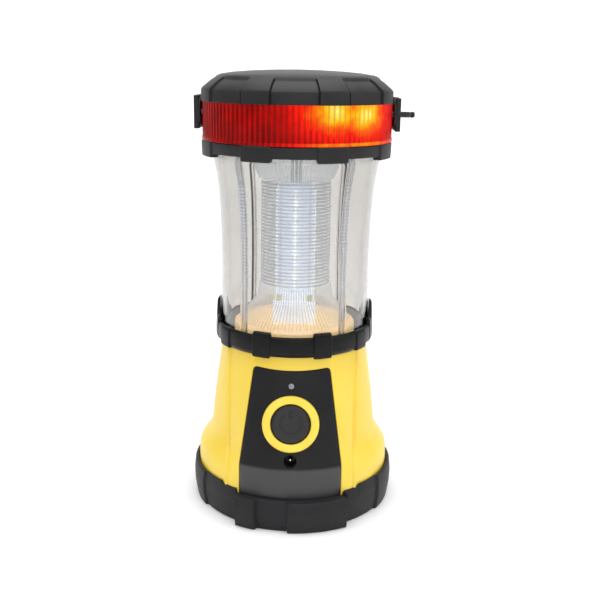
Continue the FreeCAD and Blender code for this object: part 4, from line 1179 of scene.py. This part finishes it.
class ButtonOperator(bpy.types.Operator):
    """Yellow ring, push button with its sign, indicator and charging inlet."""
    bl_idname = "lantern.button"
    bl_label = "Button and inlet"

    def execute(self, context):
        ring = lathe("button_ring_moulding", [
            (10.6, 0.5), (11.3, 1.2), (14.1, 1.1), (14.9, 0.3), (14.9, -3.6), (12.6, -3.6),
            (12.6, -1.2), (10.6, -1.2)], finish(ring_abs), 0.35)
        settle(on_panel(ring), "lantern", "yellow_abs", "button_ring")
        button = turned_solid("power_button_cap", self.cap_profile(), finish(button_rubber))
        settle(on_panel(button), "button", "black_rubber", "power_button")
        mark = joined("power_button_mark", [self.broken_ring(), self.bar()])
        settle(on_panel(mark), "button", "black_rubber")
        dome = lathe("button_return_dome", [(3.0, -2.6), (6.2, -2.6), (9.0, -7.0), (8.0, -7.0),
                                            (5.4, -3.4), (3.0, -3.4)],
                     finish(dome_silicone), 0.2, 64)
        settle(on_panel(dome), "lantern", "grey_silicone", "button_dome")
        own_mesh(dome)
        lens = turned_solid("indicator_dome", [
            (0, -7), (1.9, -7), (1.9, -5.2), (1.5, -5.0), (1.5, 0.0), (1.35, 0.3), (1.0, 0.55),
            (0.5, 0.68), (0, 0.7)], finish(indicator_plastic), 48)
        settle(on_panel(lens, LED_RISE), "lantern", "white_abs", "indicator_led")
        inlet = lathe("dc_jack_barrel", [(3.2, -12.6), (3.2, -2.7), (3.4, -2.5), (4.6, -2.5),
                                         (4.6, -7.0), (5.0, -7.0), (5.0, -16.0), (3.2, -16.0)],
                      finish(inlet_plastic), 0.0, 48)
        floor = turned_solid("dc_jack_floor", [(0, -16), (3.3, -16), (3.3, -12.4), (0, -12.4)],
                             finish(inlet_plastic), 48)
        body = joined("dc_jack_body", [inlet, floor])
        settle(on_panel(body, INLET_RISE), "lantern", "driver_black", "dc_jack")
        pin = turned_solid("jack_pin_post", [(0, -12.5), (1.0, -12.5), (1.0, -4.2), (0.8, -3.6),
                                             (0.4, -3.35), (0, -3.3)], finish(bright_nickel), 32)
        settle(on_panel(pin, INLET_RISE), "lantern", "nickel", "jack_pin")
        return {"FINISHED"}

    def cap_profile(self):
        """Slightly dished face, rounded rim, side wall, flange and stem."""
        face = [(0.0, 0.35), (3.0, 0.38), (6.0, 0.5), (8.2, 0.66), (9.1, 0.66), (9.8, 0.4),
                (10.2, 0.0), (10.3, -0.5)]
        return face + [(10.3, -1.5), (12.1, -1.5), (12.1, -2.5), (2.5, -2.5), (2.5, -5.6), (0, -5.6)]

    def broken_ring(self):
        """Raised arc of the power sign, open at the top."""
        points, faces = [], []
        steps = 60
        for k in range(steps + 1):
            angle = math.radians(90 + 32 + (360 - 64) * k / steps)
            for r, z in ((4.75, 0.3), (5.0, 0.78), (5.9, 0.78), (6.15, 0.3)):
                points.append((r * math.cos(angle), r * math.sin(angle), z))
        for k in range(steps):
            for j in range(4):
                n = (j + 1) % 4
                faces.append((k * 4 + j, k * 4 + n, k * 4 + 4 + n, k * 4 + 4 + j))
        faces += [(0, 1, 2, 3), tuple(steps * 4 + j for j in (3, 2, 1, 0))]
        return mesh_object("power_arc", points, faces, finish(button_rubber), 30)

    def bar(self):
        """Raised upright stroke of the power sign."""
        low, high = (-0.65, 2.9), (0.65, 7.1)
        base = [(low[0], low[1], 0.3), (high[0], low[1], 0.3), (high[0], high[1], 0.3),
                (low[0], high[1], 0.3)]
        top = [(x * 0.6, 5.0 + (y - 5.0) * 0.88, 0.8) for x, y, z in base]
        faces = [(3, 2, 1, 0), (4, 5, 6, 7)] + [(i, (i + 1) % 4, (i + 1) % 4 + 4, i + 4)
                                                 for i in range(4)]
        return mesh_object("power_bar", base + top, faces, finish(button_rubber), 30)


class CollarOperator(bpy.types.Operator):
    """Black collar between housing and globe, with lugs, nubs and pointed side ears."""
    bl_idname = "lantern.collar"
    bl_label = "Middle collar"

    LUGS = [(angle, 13) for angle in (-21.6, 21.6, 158.4, -158.4)]
    NUBS = [(angle, 12) for angle in (-57, 57, 123, -123)]
    WINGS = [(angle, 34) for angle in (-90, 90)]

    def execute(self, context):
        bands = self.LUGS + self.NUBS + self.WINGS
        piece = ring_mesh("mid_collar_moulding", angles_near(band_edges(bands), 1.5),
                          self.section, finish(polished_black_abs), 40)
        settle(piece, "lantern", "black_abs", "mid_collar")
        return {"FINISHED"}

    def section(self, angle):
        lug = max(window(angle, *band, 1.0) for band in self.LUGS)
        nub = max(window(angle, *band, 1.0) for band in self.NUBS)
        wing = max(window(angle, *band, 1.0) for band in self.WINGS)
        beside = min(abs((angle - side + 180) % 360 - 180) for side in (-90, 90))
        ear = min(max((12.5 - beside) / 9.0, 0.0), 1.0)
        low = 92.3 + (LUG_LOW - 92.3) * lug + (LUG_LOW + 0.4 - 92.3) * nub
        outer = 43.0 + 1.4 * lug + 0.8 * nub + 0.3 * wing
        top = 101.8 + 2.2 * lug + 3.0 * wing + (EAR_TOP - 105.0) * ear
        lean = 1.1 * ear
        return rounded([(41.5, min(low, 91.0)), (outer - 0.5, low), (outer, low + 1.2),
                        (outer, 97.5), (outer - 0.3 - lean * 0.5, top - 1.0),
                        (outer - 1.1 - lean, top), (40.95, top), (40.95, 93.0),
                        (33.9, 93.0), (33.9, 91.0), (41.2, 91.0)], 0.5)


class GlobeOperator(bpy.types.Operator):
    """Clear waisted globe with two pairs of upright moulded ribs."""
    bl_idname = "lantern.globe"
    bl_label = "Globe"

    CURVE = [(94.0, 40.5), (113.0, 40.3), (132.0, 40.0), (160.0, 40.6), (178.0, 42.1),
             (187.0, 43.7), (190.5, 44.2), (192.6, 42.95), (194.0, 42.9)]
    RIBS = [(angle, 4.6) for angle in (-42, 42, 138, -138)]

    def execute(self, context):
        heights = [GLOBE_LOW + (GLOBE_HIGH - GLOBE_LOW) * k / 64 for k in range(65)]
        self.levels = [(z, spline(self.CURVE, z)) for z in heights]
        angles = angles_near(band_edges(self.RIBS) + [a for a, _ in self.RIBS], 2.5, 0.4, 2.0)
        piece = ring_mesh("globe_clear", angles, self.section, finish(clear_acrylic), 45)
        settle(piece, "lantern", "clear_acrylic", "globe")
        return {"FINISHED"}

    def section(self, angle):
        """Outer wall up, inner wall down; the ribs thicken the inner wall."""
        rib = max(window(angle, *band, 1.2) for band in self.RIBS)
        groove = max(window(angle, band[0], 1.6, 1.0) for band in self.RIBS)
        wall = 2.4 + 2.0 * rib - 1.4 * groove
        outer = [(radius, z) for z, radius in self.levels]
        inner = [(radius - wall, z) for z, radius in reversed(self.levels)]
        return outer + inner


class LensOperator(bpy.types.Operator):
    """Ribbed tube round the lamp column and the fluted flares at its ends."""
    bl_idname = "lantern.lenses"
    bl_label = "Inner lenses"

    def execute(self, context):
        clear = finish(prismatic_acrylic)
        tube = lathe("diffuser_tube_wall", [
            (17.6, TUBE_LOW), (18.7, TUBE_LOW), (18.7, TUBE_TOP), (17.6, TUBE_TOP)], clear, 0.2)
        settle(tube, "lantern", "frosted_acrylic", "diffuser_tube")
        pitch = (TUBE_TOP - TUBE_LOW - 2) / (sizes().tube_ribs - 1)
        ribs = grow("diffuser_tube_ribs", stacked_rings_tree(), {
            "Count": sizes().tube_ribs, "Pitch": mm(pitch), "Start": mm(TUBE_LOW + 1),
            "Ring radius": mm(18.5), "Bead radius": mm(0.5)}, finish(ribbed_acrylic))
        settle(ribs, "lantern", "frosted_acrylic")
        self.flare("upper", [(19.0, TUBE_TOP), (20.3, TUBE_TOP + 4), (23.4, TUBE_TOP + 9),
                             (33.0, 192.0), (39.6, 192.0), (39.6, 193.4), (32.0, 193.4),
                             (22.0, TUBE_TOP + 9.6), (18.9, TUBE_TOP + 4.4), (17.4, TUBE_TOP)],
                   (21.6, TUBE_TOP + 5.5, 24, 9.5), (28.6, 189.3, 68, 10.5))
        self.flare("lower", [(17.4, TUBE_LOW), (18.0, TUBE_LOW - 8), (28.4, 102.7),
                             (28.4, 101.05), (37.3, 101.05), (37.3, 102.4), (30.5, 102.6),
                             (19.9, TUBE_LOW - 8), (19.0, TUBE_LOW)],
                   (19.8, TUBE_LOW - 4.0, -7, 8.0), (25.4, 108.0, -41, 15.0))
        return {"FINISHED"}

    def flare(self, name, corners, *rows):
        """A turned flare plus rows of flutes given as radius, height, lean and length."""
        cone = lathe(f"{name}_flare_cone", corners, finish(flared_acrylic), 0.4)
        settle(cone, "lantern", "clear_acrylic", f"{name}_flared_lens")
        for number, (radius, height, lean, length) in enumerate(rows, start=1):
            flutes = grow(f"{name}_flare_flutes_{number}", sloping_flutes_tree(), {
                "Count": sizes().cone_flutes, "Radius": mm(radius), "Height": mm(height),
                "Lean": math.radians(lean), "Length": mm(length), "Bar": mm(0.38)},
                finish(fluted_acrylic))
            settle(flutes, "lantern", "clear_acrylic")


class ColumnOperator(bpy.types.Operator):
    """Lamp column: boards, rows of lamps, white block and the deck."""
    bl_idname = "lantern.column"
    bl_label = "Lamp column"

    ROWS = 8
    NIGHT_STEP = 8.2

    def execute(self, context):
        low, high = extent("led_chips")
        tall = LAMP_SIZE[2]
        pitch = (high[2] - low[2] - tall) / (self.ROWS - 1)
        centre = low[1] + LAMP_SIZE[1] / 2
        lamps = self.lamps("led_chips_gel", self.ROWS, pitch, low[2] + tall / 2, centre, 0.0,
                           LAMP_SIZE, pale_phosphor)
        settle(lamps, "lantern", "yellow_phosphor", "led_chips")
        # Painted highlights: glowing beads along the lamp rows give the tube's bright upright lines.
        strips = self.lamps("led_strip_painted_highlights", 1, 1, (low[2] + high[2]) / 2, low[1] + 0.1, 0.0,
                            (0.9, 0.4, high[2] - low[2] + tall), strip_silicone_painted_highlight)
        settle(strips, "lantern", "frosted_acrylic")
        low = extent("night_light_chips")[0]
        centre = low[1] + LAMP_SIZE[1] / 2
        for name, step, nodes in (("left", -self.NIGHT_STEP, ["night_light_chips"]),
                                  ("right", self.NIGHT_STEP, [])):
            warm = self.lamps(f"night_light_{name}", 1, 1, low[2] + tall / 2, centre, step,
                              LAMP_SIZE, phosphor)
            settle(warm, "lantern", "yellow_phosphor", *nodes)
        softened_copy("led_base_block", finish(lamp_board), 0.8)
        softened_copy("night_light_block", finish(lamp_board), 0.3)
        deck = lathe("deck_plate_moulding", [
            (7.0, 99.2), (31.0, 99.2), (31.0, 91.2), (33.0, 91.2), (33.0, DECK_TOP - 0.2),
            (32.3, DECK_TOP), (30.8, DECK_TOP - 0.5), (13.0, DECK_TOP - 0.5), (12.0, DECK_TOP - 0.1),
            (7.0, DECK_TOP - 0.1)], finish(deck_abs_painted_glow), 0.3)
        settle(deck, "lantern", "orange_reflector", "deck_plate")
        return {"FINISHED"}

    def lamps(self, name, rows, pitch, start, reach, step, size, make):
        """Square lamps up each face: how many, their pitch, first height, depth and side step."""
        return grow(name, lamp_rows_tree(), {
            "Rows": rows, "Pitch": mm(pitch), "Start": mm(start), "Reach": mm(reach),
            "Side step": mm(step), "Lamp size": [mm(value) for value in size]}, finish(make))


class HeadOperator(bpy.types.Operator):
    """Head collar with tabs, and the fluted red lens."""
    bl_idname = "lantern.head"
    bl_label = "Flasher head"

    TABS = [(22.5 + 45 * k, 18.5) for k in range(8)]

    def execute(self, context):
        collar = ring_mesh("head_collar_moulding", angles_near(band_edges(self.TABS)),
                           self.collar_section, finish(black_abs), 40)
        settle(collar, "lantern", "black_abs", "head_collar")
        self.count = sizes().lens_flutes
        lens = ring_mesh("red_lens_moulding", even(self.count * 8), self.lens_section,
                         finish(red_acrylic), 60)
        settle(lens, "lantern", "red_acrylic", "red_lens")
        return {"FINISHED"}

    def collar_section(self, angle):
        tab = max(window(angle, *band, 0.9) for band in self.TABS)
        outer = 49.8 + 0.7 * tab
        low = 192.9 - 1.9 * tab
        return rounded([(6.0, 195.5), (43.3, 195.5), (43.3, 192.9), (45.4, 192.9), (46.0, low),
                        (outer - 0.3, low), (outer, HEAD_TOP - 0.6), (outer - 0.6, HEAD_TOP - 0.02),
                        (47.7, HEAD_TOP - 0.02), (47.7, 197.5), (6.0, 197.5)], 0.45)

    def lens_section(self, angle):
        """Shallow flutes outside between two lips, deeper ones inside."""
        turn = angle / 360 * self.count
        scallop = abs(math.sin(math.pi * turn))
        inner = 47.3 + 0.9 * scallop
        outer = BAND_RADIUS
        face = outer - 0.75 + 0.35 * scallop
        low, high = HEAD_TOP, BAND_TOP
        return [(outer - 0.1, low), (outer, low + 0.3), (outer, low + 1.3), (face, low + 1.8),
                (face, high - 1.0), (face + 0.1, high - 0.4), (outer - 0.5, high),
                (48.1, high), (inner, high - 1.0), (inner, low + 2.2), (48.1, low + 1.2), (48.1, low)]


class LampsOperator(bpy.types.Operator):
    """Twelve flasher lamps on their board; the two at the front right are lit."""
    bl_idname = "lantern.lamps"
    bl_label = "Flasher lamps"

    LIT = (30, 60)
    PROFILE = [(0, 0), (2.9, 0), (2.9, 1.0), (2.5, 1.0), (2.5, 6.2), (2.3, 7.2), (1.8, 8.0),
               (1.0, 8.5), (0, 8.7)]

    def execute(self, context):
        height = extent("flasher_leds")[0][2] + 2.9
        dark, lit = [], []
        for index in range(12):
            angle = 30 * index
            shines = angle in self.LIT
            material = lit_epoxy if shines else amber_epoxy
            lamp = turned_solid("lamp", self.PROFILE, finish(material), 24)
            turn = Matrix.Rotation(math.radians(angle), 4, "Z")
            outwards = Matrix.Rotation(math.radians(90), 4, "X")
            lamp.data.transform(turn @ Matrix.Translation((0, -mm(28), mm(height))) @ outwards)
            (lit if shines else dark).append(lamp)
        settle(joined("flasher_lamps_dark", dark), "lantern", "amber_epoxy", "flasher_leds")
        settle(joined("flasher_lamps_lit", lit), "lantern", "amber_epoxy")
        return {"FINISHED"}


class CapOperator(bpy.types.Operator):
    """Black cap: eight arms from a domed middle, sunk panels between them."""
    bl_idname = "lantern.cap"
    bl_label = "Top cap"

    SUNK = [(45 * k, 26.5) for k in range(8)]
    GROOVES = [(edge, 1.0) for edge in band_edges(SUNK)]

    def execute(self, context):
        angles = angles_near(band_edges(self.SUNK), 2.0, 0.25)
        skin = ring_mesh("top_cap_moulding", angles, self.section, finish(black_abs), 40)
        settle(skin, "lantern", "black_abs", "top_cap")
        return {"FINISHED"}

    def section(self, angle):
        sunk = max(window(angle, *band, 0.5) for band in self.SUNK)
        groove = max(window(angle, *band, 0.5) for band in self.GROOVES)
        drop = max(sunk, 1.55 * groove)
        crown = DOME_TOP
        outline = [(50.5 - drop * 0.9, BAND_TOP), (50.5 - drop * 0.9, 224.2 - drop * 0.4),
                   (49.9 - drop * 0.9, 225.3 - drop * 0.5), (45.4, 229.0 - drop * 0.9),
                   (43.6, 230.1 - drop), (42.9, 230.6 - drop * 0.95), (42.5, 230.85 - drop * 0.1),
                   (40.8, 231.75), (39.4, 232.15), (33.0, 233.1), (24.0, crown - 0.75),
                   (12.0, crown - 0.2), (0.0, crown)]
        inner = [(0.0, crown - 2.4), (22.0, crown - 3.0), (40.0, 229.2), (48.0, 224.2),
                 (48.0, BAND_TOP)]
        return outline + inner


class HandleOperator(bpy.types.Operator):
    """Folded bail, its lug pads, threaded stud and stud tip."""
    bl_idname = "lantern.handle"
    bl_label = "Carrying handle"

    PAD_FACES = (50.2, 51.05)
    THREAD_PITCH = 0.7

    def execute(self, context):
        softened_copy("carry_handle", finish(black_abs), 1.1, body="handle")
        for side, label in ((-1, "left"), (1, "right")):
            near, far = side * self.PAD_FACES[0], side * self.PAD_FACES[1]
            pad = lathe(f"handle_lug_pad_{label}", [(4.0, near), (8.0, near), (8.0, far), (4.0, far)],
                        finish(black_abs), 0.2, 64)
            settle(self.across(pad), "handle", "black_abs")
        self.stud()
        tip = turned_solid("stud_tip_cap", [(0, STUD_END), (1.55, STUD_END), (1.6, 60.4),
                                            (1.35, 61.1), (0.9, 61.4), (0, 61.5)],
                           finish(black_rubber), 40)
        settle(self.across(tip), "lantern", "black_rubber", "stud_tip")
        return {"FINISHED"}

    def stud(self):
        """Threaded stud: a ridged profile turned about the pivot axis."""
        start, end, pitch = extent("pivot_stud_right")[0][0], STUD_END, self.THREAD_PITCH
        profile = [(0, start), (1.45, start), (1.5, 54.2)]
        turns = int((end - 54.4) / pitch)
        for k in range(turns):
            base = 54.3 + k * pitch
            profile += [(1.4, base), (1.65, base + pitch / 2)]
        profile += [(1.25, end), (0, end)]
        stud = turned_solid("pivot_stud_thread", profile, finish(blackened_steel), 40)
        settle(self.across(stud), "lantern", "steel", "pivot_stud_right")

    def across(self, piece):
        """Lay a turned piece along +X at pivot height."""
        turn = Matrix.Rotation(math.radians(90), 4, "Y")
        piece.data.transform(Matrix.Translation((0, 0, mm(PIVOT[2]))) @ turn)
        return piece


class SmallPartsOperator(bpy.types.Operator):
    """Finishes for the CAD parts that keep their own shape."""
    bl_idname = "lantern.small_parts"
    bl_label = "Small parts"

    def execute(self, context):
        finishes = {
            "black_abs": finish(black_abs), "steel": finish(zinc_steel),
            "nickel": finish(bright_nickel), "aluminium": finish(brushed_aluminium),
            "white_abs": finish(white_abs), "white_board": finish(lamp_board),
            "green_board": finish(circuit_board),
            "grey_silicone": finish(seal_silicone), "cell_wrap": finish(cell_sleeve),
            "wire_pvc": finish(wire_pvc), "driver_black": finish(component_epoxy),
        }
        special = {"flasher_reflector": finish(vacuum_chrome), "led_column": finish(lit_aluminium),
                   "pivot_washer_left": finish(black_abs), "pivot_washer_right": finish(black_abs)}
        replaced = {name for piece in bpy.data.objects for name in piece.get("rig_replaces", [])}
        for name, node in frame["nodes"].items():
            if name in replaced:
                continue
            material = special.get(name) or finishes.get(slot_of(name))
            if material is None:
                raise RuntimeError(f"no finish for {name}")
            if not node.material_slots:
                node.data.materials.append(material)
            for place in node.material_slots:
                place.material = material
        return {"FINISHED"}


class LanternPanel(bpy.types.Panel):
    """Sidebar panel that lists the pieces."""
    bl_idname = "VIEW3D_PT_lantern"
    bl_label = "Camping Lantern"
    bl_space_type = "VIEW_3D"
    bl_region_type = "UI"
    bl_category = "Lantern"

    def draw(self, context):
        column = self.layout.column()
        for group in (context.scene.lantern_sizes, context.scene.lantern_colours):
            for name in group.bl_rna.properties.keys():
                if name not in ("rna_type", "name"):
                    column.prop(group, name)
        for operator in OPERATORS:
            column.operator(operator.bl_idname)


OPERATORS = (StageOperator, FootOperator, ShellOperator, PanelOperator, ButtonOperator,
             CollarOperator, GlobeOperator, LensOperator, ColumnOperator, HeadOperator,
             LampsOperator, CapOperator, HandleOperator, SmallPartsOperator)
CLASSES = (LanternSizes, LanternColours) + OPERATORS + (LanternPanel,)


def register():
    for item in CLASSES:
        bpy.utils.register_class(item)
    bpy.types.Scene.lantern_sizes = bpy.props.PointerProperty(type=LanternSizes)
    bpy.types.Scene.lantern_colours = bpy.props.PointerProperty(type=LanternColours)


def unregister():
    del bpy.types.Scene.lantern_colours
    del bpy.types.Scene.lantern_sizes
    for item in reversed(CLASSES):
        bpy.utils.unregister_class(item)


def main():
    register()
    for operator in OPERATORS:
        group, name = operator.bl_idname.split(".")
        getattr(getattr(bpy.ops, group), name)()


if __name__ == "__main__":
    main()
